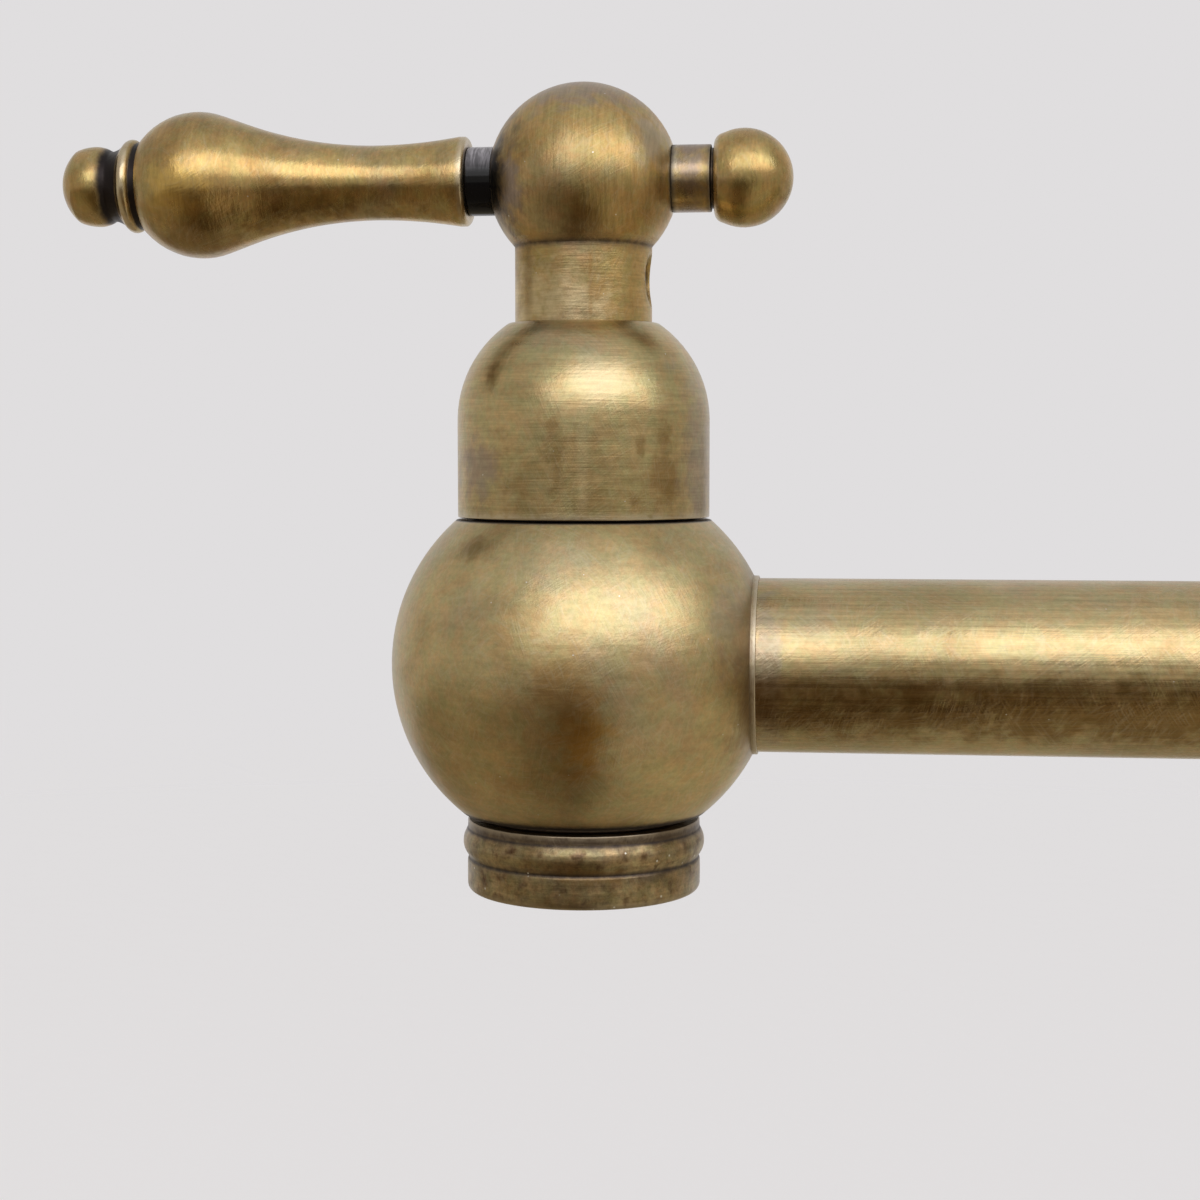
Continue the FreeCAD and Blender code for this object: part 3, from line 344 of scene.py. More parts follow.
# ---------------------------------------------------------------- shader graphs
class Graph:
    """A node tree being wired."""

    def __init__(self, tree: bpy.types.NodeTree) -> None:
        """Wire into that tree."""
        self.tree = tree

    def add(self, kind: str, **settings: object) -> bpy.types.Node:
        """Add a node, with its own settings."""
        node = self.tree.nodes.new(kind)
        for name, value in settings.items():
            setattr(node, name, value)
        return node

    def feed(self, socket: bpy.types.NodeSocket, value: Feed) -> None:
        """Link a socket into another, or set its constant."""
        if isinstance(value, bpy.types.NodeSocket):
            self.tree.links.new(value, socket)
        elif socket.type == "RGBA" and len(value) == 3:
            socket.default_value = (*value, 1.0)
        else:
            socket.default_value = value

    def math(self, operation: str, *values: Feed, clamp: bool = False) -> bpy.types.NodeSocket:
        """The result of a Math node."""
        node = self.add("ShaderNodeMath", operation=operation, use_clamp=clamp)
        for socket, value in zip(node.inputs, values):
            self.feed(socket, value)
        return node.outputs[0]

    def vector(self, operation: str, *values: Feed) -> bpy.types.NodeSocket:
        """The result of a Vector Math node."""
        node = self.add("ShaderNodeVectorMath", operation=operation)
        for socket, value in zip(node.inputs, values):
            self.feed(socket, value)
        return node.outputs["Value"] if operation in ("LENGTH", "DOT_PRODUCT") else node.outputs[0]

    def noise(self, vector: Feed, scale: Feed, detail: float = 2.0, roughness: float = 0.5,
              distortion: float = 0.0) -> bpy.types.NodeSocket:
        """A Noise texture's value."""
        node = self.add("ShaderNodeTexNoise")
        for name, value in (("Vector", vector), ("Scale", scale), ("Detail", detail),
                            ("Roughness", roughness), ("Distortion", distortion)):
            self.feed(node.inputs[name], value)
        return node.outputs["Fac"]

    def step(self, value: Feed, low: Feed, high: Feed, to_low: float = 0.0,
             to_high: float = 1.0) -> bpy.types.NodeSocket:
        """A smooth step between two values."""
        node = self.add("ShaderNodeMapRange", interpolation_type="SMOOTHSTEP")
        for name, given in (("Value", value), ("From Min", low), ("From Max", high),
                            ("To Min", to_low), ("To Max", to_high)):
            self.feed(node.inputs[name], given)
        return node.outputs["Result"]

    def mix(self, share: Feed, first: Feed, second: Feed,
            blend: str = "MIX") -> bpy.types.NodeSocket:
        """A mix of two colours."""
        node = self.add("ShaderNodeMix", data_type="RGBA", blend_type=blend, clamp_result=False)
        self.feed(node.inputs[0], share)
        self.feed(node.inputs[6], first)
        self.feed(node.inputs[7], second)
        return node.outputs[2]

    def times(self, colour: Feed, by: Feed) -> bpy.types.NodeSocket:
        """A colour multiplied by another colour or by a value."""
        return self.mix(1.0, colour, by, "MULTIPLY")

    def tinted(self, colour: Feed, mask: Feed, share: Feed, tint: Feed) -> bpy.types.NodeSocket:
        """A colour turned towards a tint, by a share of a mask."""
        return self.mix(self.math("MULTIPLY", mask, share), colour, tint)

    def plus(self, value: Feed, more: Feed, share: Feed) -> bpy.types.NodeSocket:
        """A value with a share of another added."""
        return self.math("ADD", value, self.math("MULTIPLY", more, share))

    def turned_by(self, vector: Feed, degrees: Sequence[float]) -> bpy.types.NodeSocket:
        """A vector turned by three angles."""
        node = self.add("ShaderNodeVectorRotate", rotation_type="EULER_XYZ")
        self.feed(node.inputs["Vector"], vector)
        node.inputs["Rotation"].default_value = [math.radians(angle) for angle in degrees]
        return node.outputs[0]

    def use(self, effect: bpy.types.NodeTree, **values: Feed) -> bpy.types.bpy_prop_collection:
        """Place a node group, with its inputs set by their names, and give its outputs."""
        node = self.add("ShaderNodeGroup", node_tree=effect)
        for name, value in values.items():
            self.feed(node.inputs[name.replace("_", " ").capitalize()], value)
        return node.outputs

    def attribute(self, name: str, output: str = "Fac") -> bpy.types.NodeSocket:
        """An attribute that the mesh carries."""
        return self.add("ShaderNodeAttribute", attribute_name=name).outputs[output]

    def place_mm(self) -> bpy.types.NodeSocket:
        """The place on the piece, in mm, which moves with it."""
        place = self.add("ShaderNodeTexCoord").outputs["Object"]
        return self.vector("MULTIPLY", place, (1 / MM,) * 3)

    def place_from(self, centre: Sequence[float]) -> bpy.types.NodeSocket:
        """The place on the piece from a centre, in m."""
        place = self.add("ShaderNodeTexCoord").outputs["Object"]
        return self.vector("SUBTRACT", place, tuple(centre))


class Effect:
    """A shader node group being built, with named inputs and outputs."""

    KINDS = {"value": "NodeSocketFloat", "vector": "NodeSocketVector", "colour": "NodeSocketColor"}

    def __init__(self, name: str, inputs: dict[str, tuple[str, object]],
                 outputs: dict[str, str]) -> None:
        """Make the group's sockets.

        Args:
            name: the group's name.
            inputs: each input's kind and default, by its name.
            outputs: each output's kind, by its name.
        """
        self.tree = bpy.data.node_groups.new(name, "ShaderNodeTree")
        sockets = self.tree.interface
        for label, (kind, default) in inputs.items():
            made = sockets.new_socket(name=label, in_out="INPUT", socket_type=self.KINDS[kind])
            if default is not None:
                made.default_value = (*default, 1.0) if kind == "colour" else default
        for label, kind in outputs.items():
            sockets.new_socket(name=label, in_out="OUTPUT", socket_type=self.KINDS[kind])
        self.graph = Graph(self.tree)
        self.given = self.graph.add("NodeGroupInput").outputs
        self.result = self.graph.add("NodeGroupOutput").inputs


def brush_marks() -> bpy.types.NodeTree:
    """Fine brush marks round or along a turned surface, and the broader bands they lie in."""
    made = Effect("brush_marks", {
        "Turned": ("vector", None), "Around": ("value", 4.0), "Along": ("value", 5.0),
    }, {"Height": "value", "Band": "value"})
    graph, given = made.graph, made.given
    stretch = graph.add("ShaderNodeCombineXYZ")
    for axis, name in enumerate(("Around", "Around", "Along")):
        graph.feed(stretch.inputs[axis], given[name])
    fine = graph.vector("MULTIPLY", given["Turned"], stretch.outputs[0])
    height = graph.noise(fine, 1.0, detail=4.0, roughness=0.65, distortion=0.15)
    graph.feed(made.result["Height"], height)
    wide = graph.vector("MULTIPLY", fine, (0.6, 0.6, 0.17))
    graph.feed(made.result["Band"], graph.noise(wide, 1.0, detail=3.0, roughness=0.55))
    return made.tree


def hand_scratches() -> bpy.types.NodeTree:
    """Fine crossing scratches from hand polishing, in patches that each run their own way."""
    made = Effect("hand_scratches", {
        "Place": ("vector", None), "Length": ("value", 0.35), "Fineness": ("value", 4.5),
    }, {"Height": "value", "Lines": "value"})
    graph, given = made.graph, made.given
    stretch = graph.add("ShaderNodeCombineXYZ")
    graph.feed(stretch.inputs[0], given["Length"])
    graph.feed(stretch.inputs[1], given["Length"])
    graph.feed(stretch.inputs[2], given["Fineness"])
    strokes = ((20, 35, 0), (-65, 10, 40), (80, -30, 15), (5, 75, -50), (-35, -60, 70))
    height, lines = 0.0, 0.0
    for index, angles in enumerate(strokes):
        run = graph.vector("MULTIPLY", graph.turned_by(given["Place"], angles), stretch.outputs[0])
        grain = graph.noise(run, 1.0, roughness=0.6, distortion=0.1)
        aside = graph.vector("ADD", given["Place"], (31.0 * index, 7.0, 0.0))
        share = graph.step(graph.noise(aside, 0.2), 0.38, 0.6)
        height = graph.plus(height, grain, share)
        line = graph.step(grain, 0.5, 0.72)
        lines = graph.math("MAXIMUM", lines, graph.math("MULTIPLY", line, share))
    graph.feed(made.result["Height"], height)
    graph.feed(made.result["Lines"], lines)
    return made.tree


def patina_tone() -> bpy.types.NodeTree:
    """The mottled colours of aged brass: golden and olive, with umber and lilac clouds."""
    made = Effect("patina_tone", {
        "Place": ("vector", None), "Scale": ("value", 0.06),
        "Gold": ("colour", (0.5, 0.39, 0.19)), "Olive": ("colour", (0.4, 0.31, 0.15)),
        "Umber": ("colour", (0.26, 0.16, 0.055)), "Lilac": ("colour", (0.36, 0.3, 0.24)),
        "Umber share": ("value", 0.4), "Lilac share": ("value", 0.4), "Grain": ("value", 0.08),
    }, {"Colour": "colour", "TintPatch": "value"})
    graph, given = made.graph, made.given
    place, scale = given["Place"], given["Scale"]
    broad = graph.noise(place, scale, roughness=0.45, distortion=0.3)
    tone = graph.mix(graph.step(broad, 0.35, 0.65), given["Olive"], given["Gold"])
    aside = graph.vector("ADD", place, (57.0, -13.0, 91.0))
    blots = graph.noise(aside, graph.math("MULTIPLY", scale, 1.6), detail=4.0, distortion=0.3)
    tint_patch = graph.math("MULTIPLY", graph.step(blots, 0.48, 0.78), given["Umber share"])
    tone = graph.mix(tint_patch, tone, given["Umber"])
    aside = graph.vector("ADD", place, (-40.0, 66.0, 23.0))
    bloom = graph.step(graph.noise(aside, graph.math("MULTIPLY", scale, 1.3)), 0.5, 0.75)
    tone = graph.tinted(tone, bloom, given["Lilac share"], given["Lilac"])
    aside = graph.vector("ADD", place, (9.0, 4.0, -7.0))
    hue = graph.noise(aside, 0.55, detail=4.0, roughness=0.7)
    cast = graph.mix(graph.step(hue, 0.36, 0.64), (0.95, 1.02, 0.98), (1.07, 0.97, 0.93))
    tone = graph.times(tone, cast)
    fine = graph.noise(place, 1.7, detail=4.0, roughness=0.75)
    low, high = graph.math("SUBTRACT", 1.0, given["Grain"]), graph.math("ADD", 1.0, given["Grain"])
    tone = graph.times(tone, graph.step(fine, 0.3, 0.7, low, high))
    graph.feed(made.result["Colour"], tone)
    graph.feed(made.result["TintPatch"], tint_patch)
    return made.tree


def edge_wear() -> bpy.types.NodeTree:
    """Where polish has rubbed the edges bright, and where coves and seams darken with patina and
    painted shade.
    """
    made = Effect("edge_wear", {
        "Place": ("vector", None), "Wear": ("value", 0.0), "Cove": ("value", 0.0),
        "Seam": ("value", 0.0), "Rim": ("value", 0.0),
    }, {"Rubbed": "value", "GrimeAndCoveShade": "value", "Shade": "value"})
    graph, given = made.graph, made.given
    breakup = graph.noise(given["Place"], 1.1, detail=4.0, roughness=0.65)
    ragged = graph.step(breakup, 0.25, 0.75, -0.07, 0.07)
    rub = graph.math("MULTIPLY", given["Wear"], graph.step(breakup, 0.25, 0.6, 0.45, 1.0))
    on_rim = graph.step(given["Rim"], 0.82, 0.97, 0.0, 0.5)
    rub = graph.math("MAXIMUM", graph.step(rub, 0.05, 0.55), on_rim)
    graph.feed(made.result["Rubbed"], rub)
    # The coves and the places beside joined forms darken: dark patina and painted shade.
    in_seam = graph.step(given["Seam"], 0.9, 1.0, 0.0, 0.45)
    close = graph.math("ADD", graph.math("MAXIMUM", given["Cove"], in_seam), ragged)
    graph.feed(made.result["GrimeAndCoveShade"], graph.step(close, 0.3, 0.85))
    near = graph.math("MAXIMUM", close, graph.math("MULTIPLY", given["Seam"], 0.7))
    graph.feed(made.result["Shade"], graph.step(near, 0.02, 0.9))
    return made.tree


def local_tint_patch() -> bpy.types.NodeTree:
    """One soft-edged patch round a place. It serves both stains and painted light and shade."""
    made = Effect("local_tint_patch", {
        "Place": ("vector", None), "Centre": ("vector", None), "Stretch": ("vector", None),
    }, {"Mask": "value"})
    graph, given = made.graph, made.given
    offset = graph.vector("SUBTRACT", given["Place"], given["Centre"])
    offset = graph.vector("DIVIDE", offset, given["Stretch"])
    ragged = graph.noise(given["Place"], 0.45, detail=4.0, roughness=0.6)
    ragged = graph.step(ragged, 0.25, 0.75, -0.3, 0.3)
    away = graph.math("ADD", graph.vector("LENGTH", offset), ragged)
    graph.feed(made.result["Mask"], graph.step(away, 0.25, 1.0, 1.0, 0.0))
    return made.tree


def specks() -> bpy.types.NodeTree:
    """Sparse fine specks of dust and dried mineral."""
    made = Effect("specks", {
        "Place": ("vector", None), "Pitch": ("value", 1.0), "Share": ("value", 0.05),
    }, {"Mask": "value"})
    graph, given = made.graph, made.given
    cells = graph.add("ShaderNodeTexVoronoi", feature="F1")
    graph.feed(cells.inputs["Vector"], given["Place"])
    graph.feed(cells.inputs["Scale"], given["Pitch"])
    drawn = graph.add("ShaderNodeSeparateXYZ")
    graph.feed(drawn.inputs[0], cells.outputs["Color"])
    chosen = graph.math("LESS_THAN", drawn.outputs[0], given["Share"])
    small = graph.step(cells.outputs["Distance"], 0.08, 0.14, 1.0, 0.0)
    graph.feed(made.result["Mask"], graph.math("MULTIPLY", chosen, small))
    return made.tree


def lathe_marks() -> bpy.types.NodeTree:
    """Cutting marks round an axis, on a piece whose mesh carries no directions."""
    made = Effect("lathe_marks", {
        "Place": ("vector", None), "Centre": ("vector", None), "Axis": ("vector", None),
        "Pitch": ("value", 4.0),
    }, {"Height": "value"})
    graph, given = made.graph, made.given
    offset = graph.vector("SUBTRACT", given["Place"], given["Centre"])
    along = graph.vector("DOT_PRODUCT", offset, given["Axis"])
    away = graph.vector("LENGTH", graph.vector("CROSS_PRODUCT", offset, given["Axis"]))
    run = graph.add("ShaderNodeCombineXYZ")
    graph.feed(run.inputs[0], graph.math("MULTIPLY", away, given["Pitch"]))
    graph.feed(run.inputs[1], graph.math("MULTIPLY", along, given["Pitch"]))
    graph.feed(made.result["Height"], graph.noise(run.outputs[0], 1.0, roughness=0.7))
    return made.tree


class Effects:
    """The shared effects, each built once."""

    def __init__(self) -> None:
        """Build the node groups."""
        self.marks = brush_marks()
        self.scratches = hand_scratches()
        self.patina = patina_tone()
        self.edges = edge_wear()
        self.tint_patch = local_tint_patch()
        self.specks = specks()
        self.lathe = lathe_marks()


# ---------------------------------------------------------------- finishes
class Surface(Graph):
    """A material's graph, round its own shader."""

    def __init__(self, name: str) -> None:
        """Start a material."""
        self.material = bpy.data.materials.new(name)
        self.material.use_nodes = True
        super().__init__(self.material.node_tree)
        self.shader = self.tree.nodes["Principled BSDF"]

    def shade(self, colour: Feed, roughness: Feed, height: Feed,
              **constants: Feed) -> bpy.types.Material:
        """Feed the shader.

        Args:
            colour: the base colour.
            roughness: the roughness.
            height: the surface's fine relief, in mm.
            constants: further sockets of the shader, by their names.

        Returns:
            The material.
        """
        relief = self.add("ShaderNodeBump")
        relief.inputs["Distance"].default_value = MM
        self.feed(relief.inputs["Height"], height)
        inputs = self.shader.inputs
        for name, value in (("Base Color", colour), ("Roughness", roughness),
                            ("Normal", relief.outputs[0])):
            self.feed(inputs[name], value)
        for name, value in constants.items():
            self.feed(inputs[name.replace("_", " ").title().replace("Ior", "IOR")], value)
        return self.material


class Tint(Enum):
    """What a local patch turns the brass towards. Stains use it, and so do painted highlights,
    reflections and shade.
    """

    UMBER = (0.2, 0.115, 0.035)
    RED_BROWN = (0.33, 0.185, 0.06)
    LILAC = (0.3, 0.245, 0.23)
    DUSK = (0.084, 0.062, 0.046)
    # a painted reflection of the black collar in the hub's ball
    COLLAR_REFLECTION = (0.012, 0.011, 0.012)
    COPPER = (0.44, 0.24, 0.05)
    ASH = (0.45, 0.385, 0.3)
    AMBER = (0.72, 0.48, 0.14)
    BRIGHT = (0.68, 0.55, 0.33)


@dataclass(frozen=True)
class TintPatch:
    """A soft patch of tint at one place of the object, in mm. Some are stains; the others are
    painted highlights, reflections and shade.
    """

    centre: tuple[float, float, float]
    stretch: tuple[float, float, float]
    share: float
    tint: Tint = Tint.UMBER


@dataclass(frozen=True)
class AgedBrass:
    """Brushed brass, darkened with age, rubbed bright on its edges, and dark in its coves with
    patina and painted shade.
    """

    name: str
    mark_around: float = 4.0        # brush marks in a radian round the axis
    mark_along: float = 3.5         # brush marks in a mm along it
    mark_depth: float = 0.02        # mm
    mark_tone: float = 0.14
    scratch_depth: float = 0.006    # mm
    scratch_light: float = 0.3
    patch_scale: float = 0.06       # patches of patina in a mm
    gold: Colour = (0.52, 0.412, 0.215)
    olive: Colour = (0.42, 0.338, 0.172)
    umber: Colour = (0.28, 0.17, 0.06)
    lilac: Colour = (0.37, 0.305, 0.235)
    rubbed: Colour = (0.64, 0.55, 0.38)
    grime_and_cove_shade: Colour = (0.035, 0.03, 0.032)
    shade: Colour = (0.2, 0.145, 0.095)
    umber_share: float = 0.4
    lilac_share: float = 0.45
    grain: float = 0.09
    roughness: float = 0.3
    speck_share: float = 0.02
    speck_pitch: float = 1.3
    cove_share: float = 1.0         # how strongly the coves darken, with dark patina and painted shade
    dust: Colour = (0.74, 0.72, 0.66)
    band_tone: float = 0.08
    wave_depth: float = 0.03        # mm, of the waves that polishing leaves
    tint_patches: tuple[TintPatch, ...] = ()

    def material(self, effects: Effects) -> bpy.types.Material:
        """Wire the finish."""
        s = Surface(self.name)
        place = s.place_mm()
        marks = s.use(effects.marks, turned=s.attribute("turned", "Vector"),
                      around=self.mark_around, along=self.mark_along)
        hand = s.use(effects.scratches, place=place)
        cove = s.math("MULTIPLY", s.attribute("cove"), self.cove_share)
        edges = s.use(effects.edges, place=place, wear=s.attribute("wear"), cove=cove,
                      seam=s.attribute("seam"), rim=s.attribute("rim"))
        tone = s.use(effects.patina, place=place, scale=self.patch_scale, gold=self.gold,
                     olive=self.olive, umber=self.umber, lilac=self.lilac,
                     umber_share=self.umber_share, lilac_share=self.lilac_share, grain=self.grain)
        dust = s.use(effects.specks, place=place, pitch=self.speck_pitch, share=self.speck_share)
        colour = tone["Colour"]
        # Local patches: stains, and painted highlights, reflections and shade.
        for tint_patch in self.tint_patches:
            spot = s.use(effects.tint_patch, place=place, centre=tint_patch.centre, stretch=tint_patch.stretch)
            colour = s.tinted(colour, spot["Mask"], tint_patch.share, tint_patch.tint.value)
        for value, swing in ((marks["Height"], self.mark_tone), (marks["Band"], self.band_tone)):
            colour = s.times(colour, s.step(value, 0.3, 0.7, 1 - swing, 1 + swing))
        # The shade and cove masks paint shade into coves and beside seams, together with dark
        # patina.
        for mask, share, tint in (
            (hand["Lines"], self.scratch_light, self.rubbed), (edges["Shade"], 0.6, self.shade),
            (edges["Rubbed"], 0.6, self.rubbed), (edges["GrimeAndCoveShade"], 0.95, self.grime_and_cove_shade),
            (dust["Mask"], 0.75, self.dust),
        ):
            colour = s.tinted(colour, mask, share, tint)
        rough = s.step(marks["Band"], 0.25, 0.75, self.roughness - 0.03, self.roughness + 0.04)
        rough = s.plus(rough, tone["TintPatch"], 0.06)
        rough = s.plus(rough, edges["GrimeAndCoveShade"], 0.15)
        height = s.math("MULTIPLY", marks["Height"], self.mark_depth)
        height = s.plus(height, hand["Height"], self.scratch_depth)
        height = s.plus(height, s.noise(place, 0.35, detail=3.0), self.wave_depth)
        return s.shade(colour, rough, height, metallic=1.0)


@dataclass(frozen=True)
class Machined:
    """Metal as it leaves the lathe, with cutting marks round one axis."""

    name: str
    colour: Colour
    centre: Vector
    axis: Vector
    roughness: float
    cut_depth: float = 0.012    # mm

    def material(self, effects: Effects) -> bpy.types.Material:
        """Wire the finish."""
        s = Surface(self.name)
        place = s.place_mm()
        cuts = s.use(effects.lathe, place=place, centre=self.centre, axis=self.axis)
        dull = s.step(s.noise(place, 0.25, detail=3.0), 0.35, 0.7, 1.0, 0.72)
        colour = s.times(self.colour, dull)
        colour = s.times(colour, s.step(cuts["Height"], 0.3, 0.7, 0.9, 1.08))
        rough = s.step(cuts["Height"], 0.25, 0.75, self.roughness - 0.05, self.roughness + 0.08)
        height = s.math("MULTIPLY", cuts["Height"], self.cut_depth)
        return s.shade(colour, rough, height, metallic=1.0)


@dataclass(frozen=True)
class Moulded:
    """Rubber, plastic, fibre or ceramic: dull or glossy, with a fine grain."""

    name: str
    colour: Colour
    roughness: float
    grain: float = 3.0      # grains in a mm
    depth: float = 0.006    # mm
    mottle: float = 0.12
    specular: float = 0.5
    painted_sheen: float = 0.0    # how strong a painted sheen is on the side that faces up and forward
    dust: Colour = (0.55, 0.53, 0.5)
    sheen_colour: Colour = (0.36, 0.345, 0.38)
    sheen_side: tuple[float, float, float] = (0.1, -0.5, 0.86)

    def material(self, effects: Effects) -> bpy.types.Material:
        """Wire the finish."""
        s = Surface(self.name)
        place = s.place_mm()
        grain = s.noise(place, self.grain, detail=3.0, roughness=0.6)
        cloud = s.noise(place, 0.2)
        colour = s.times(self.colour, s.step(cloud, 0.3, 0.7, 1 - self.mottle, 1 + self.mottle))
        specks = s.use(effects.specks, place=place, pitch=1.6, share=0.02)
        colour = s.tinted(colour, specks["Mask"], 0.35, self.dust)
        # Painted highlight: a pale band, streaked along the grain, on the upper front of the piece.
        if self.painted_sheen:
            facing = s.add("ShaderNodeNewGeometry").outputs["Normal"]
            facing = s.step(s.vector("DOT_PRODUCT", facing, self.sheen_side), 0.6, 1.0)
            streaks = s.use(effects.marks, turned=s.attribute("turned", "Vector"),
                            around=1.6, along=3.2)
            streaks = s.step(streaks["Height"], 0.35, 0.7, 0.35, 1.0)
            sheen_mask = s.math("MULTIPLY", facing, streaks)
            colour = s.tinted(colour, sheen_mask, self.painted_sheen, self.sheen_colour)
        rough = s.step(grain, 0.25, 0.75, self.roughness * 0.85, min(1.0, self.roughness * 1.2))
        height = s.math("MULTIPLY", grain, self.depth)
        return s.shade(colour, rough, height, specular_ior_level=self.specular)


# ---------------------------------------------------------------- the object's pieces
RECORD = frame["record"]
BODY_OF = {node: body for body, nodes in RECORD["behaviour"]["bodies"].items() for node in nodes}
SLOT_OF = {part["node"]: part["material_slot"] for part in RECORD["subparts"]}
OUT_OF_WALL = Vector((0, -1, 0))
UP = Vector((0, 0, 1))
DOWN = Vector((0, 0, -1))
LEVER_WAY = Vector((-1, 0, 0))
FINIAL_WAY = Vector((1, 0, 0))


def box_mm(node: str) -> tuple[Vector, Vector]:
    """A node's lowest and highest corners, in mm."""
    low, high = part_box(node)
    return Vector(low) / MM, Vector(high) / MM


def fitted(piece: bpy.types.Object, node: str, material: bpy.types.Material) -> None:
    """Let a finished piece stand for a node, with its body, slot and material.

    Args:
        piece: the finished piece.
        node: the node that it replaces.
        material: its finish.
    """
    piece.data.materials.clear()
    piece.data.materials.append(material)
    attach(piece, BODY_OF[node])
    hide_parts(node)
    faces = len(piece.data.polygons)
    LOG.info("%s: %d faces, for %s on %s", piece.name, faces, node, BODY_OF[node])


def turned(node: str, steps: Sequence[Step], stand: Matrix, material: bpy.types.Material,
           shift: Shift | None = None, **easing: object) -> bpy.types.Object:
    """Turn a finished piece and let it stand for its node.

    Args:
        node: the node that it replaces.
        steps: its outline.
        stand: where it stands, in mm.
        material: its finish.
        shift: how far its points move outward.
        easing: how its outline is eased, thinned and darkened, as Profile takes it.

    Returns:
        The piece.
    """
    piece = spun(f"{node}_finished", Profile(steps, **easing), stand, shift)
    fitted(piece, node, material)
    return piece


def copied(piece: bpy.types.Object, name: str, place: Matrix) -> bpy.types.Object:
    """Copy a piece that was built about the origin to its place, in mm."""
    mesh = piece.data.copy()
    mesh.name = name
    mesh.transform(Matrix.Translation(place.translation * MM) @ place.to_3x3().to_4x4())
    copy = bpy.data.objects.new(name, mesh)
    bpy.context.scene.collection.objects.link(copy)
    return copy


@dataclass(frozen=True)
class Dome:
    """A domed cap: a valve's bonnet, or a swivel's cap."""

    foot: float = 16.95
    spring: float = 28.0
    mouth: float = 8.1
    radius: float = 14.5
    crown: float = 13.4
    rise: float = 11.1
    wall: float = 2.05
    inner_rise: float = 8.7

    def outline(self) -> list[Step]:
        """Its closed outline, from the inner edge of its foot."""
        centre = self.radius - self.crown
        inner = self.crown - self.wall
        top, ceiling = self.spring + self.rise, self.spring + self.inner_rise
        shoulder = centre + side_of(self.crown, self.rise)
        soffit = centre + side_of(inner, self.inner_rise)
        bore = self.radius - self.wall
        return [(bore, self.foot), (self.radius, self.foot), (self.radius, self.spring),
                (shoulder, top, self.crown, Bulge.RIGHT), (self.mouth, top), (self.mouth, ceiling),
                (soffit, ceiling), (bore, self.spring, inner, Bulge.LEFT)]


@dataclass(frozen=True)
class Finial:
    """A small ball on a short stem."""

    seat: float = 2.0
    spigot: float = 2.5
    stem_start: float = 10.2
    stem: float = 3.8
    stem_end: float = 14.65
    neck: float = 3.4
    ball_start: float = 15.0
    ball: float = 5.55
    ball_easing: float = 0.95
    tip: float = 23.9

    def outline(self) -> list[Step]:
        """Its open outline, along its own axis."""
        eased = self.ball_start + self.ball_easing
        edge = side_of(self.ball, self.tip - self.ball - eased)
        return [(0, self.seat), (self.spigot, self.seat), (self.spigot, self.stem_start),
                (self.stem, self.stem_start), (self.stem, self.stem_end),
                (self.neck, self.stem_end), (self.neck, self.ball_start),
                (edge - self.ball_easing, self.ball_start),
                (edge, eased, self.ball_easing * 1.2, Bulge.RIGHT),
                (0, self.tip, self.ball, Bulge.RIGHT)]


@dataclass(frozen=True)
class BeadedRing:
    """Two beads and a plain rim, as on the aerator's housing and the swivels' collars."""

    neck: float = 13.4
    groove: float = 13.15
    rim: float = 13.35
    bead_start: float = 1.6
    bead_end: float = 4.5
    bead_curve: float = 1.994
    neck_end: float = 5.0
    rim_end: float = 7.3
    rim_easing: float = 0.8
    foot: float = 8.1

    def steps(self, start: float, way: int) -> list[Step]:
        """Its steps outside, from a height upward (way 1) or downward (way -1)."""
        side = Bulge.RIGHT if way > 0 else Bulge.LEFT
        return [(self.neck, start), (self.neck, start + way * self.bead_start),
                (self.groove, start + way * self.bead_end, self.bead_curve, side),
                (self.groove, start + way * self.neck_end), (self.rim, start + way * self.neck_end),
                (self.rim, start + way * self.rim_end),
                (self.rim - self.rim_easing, start + way * self.foot, self.rim_easing, side)]


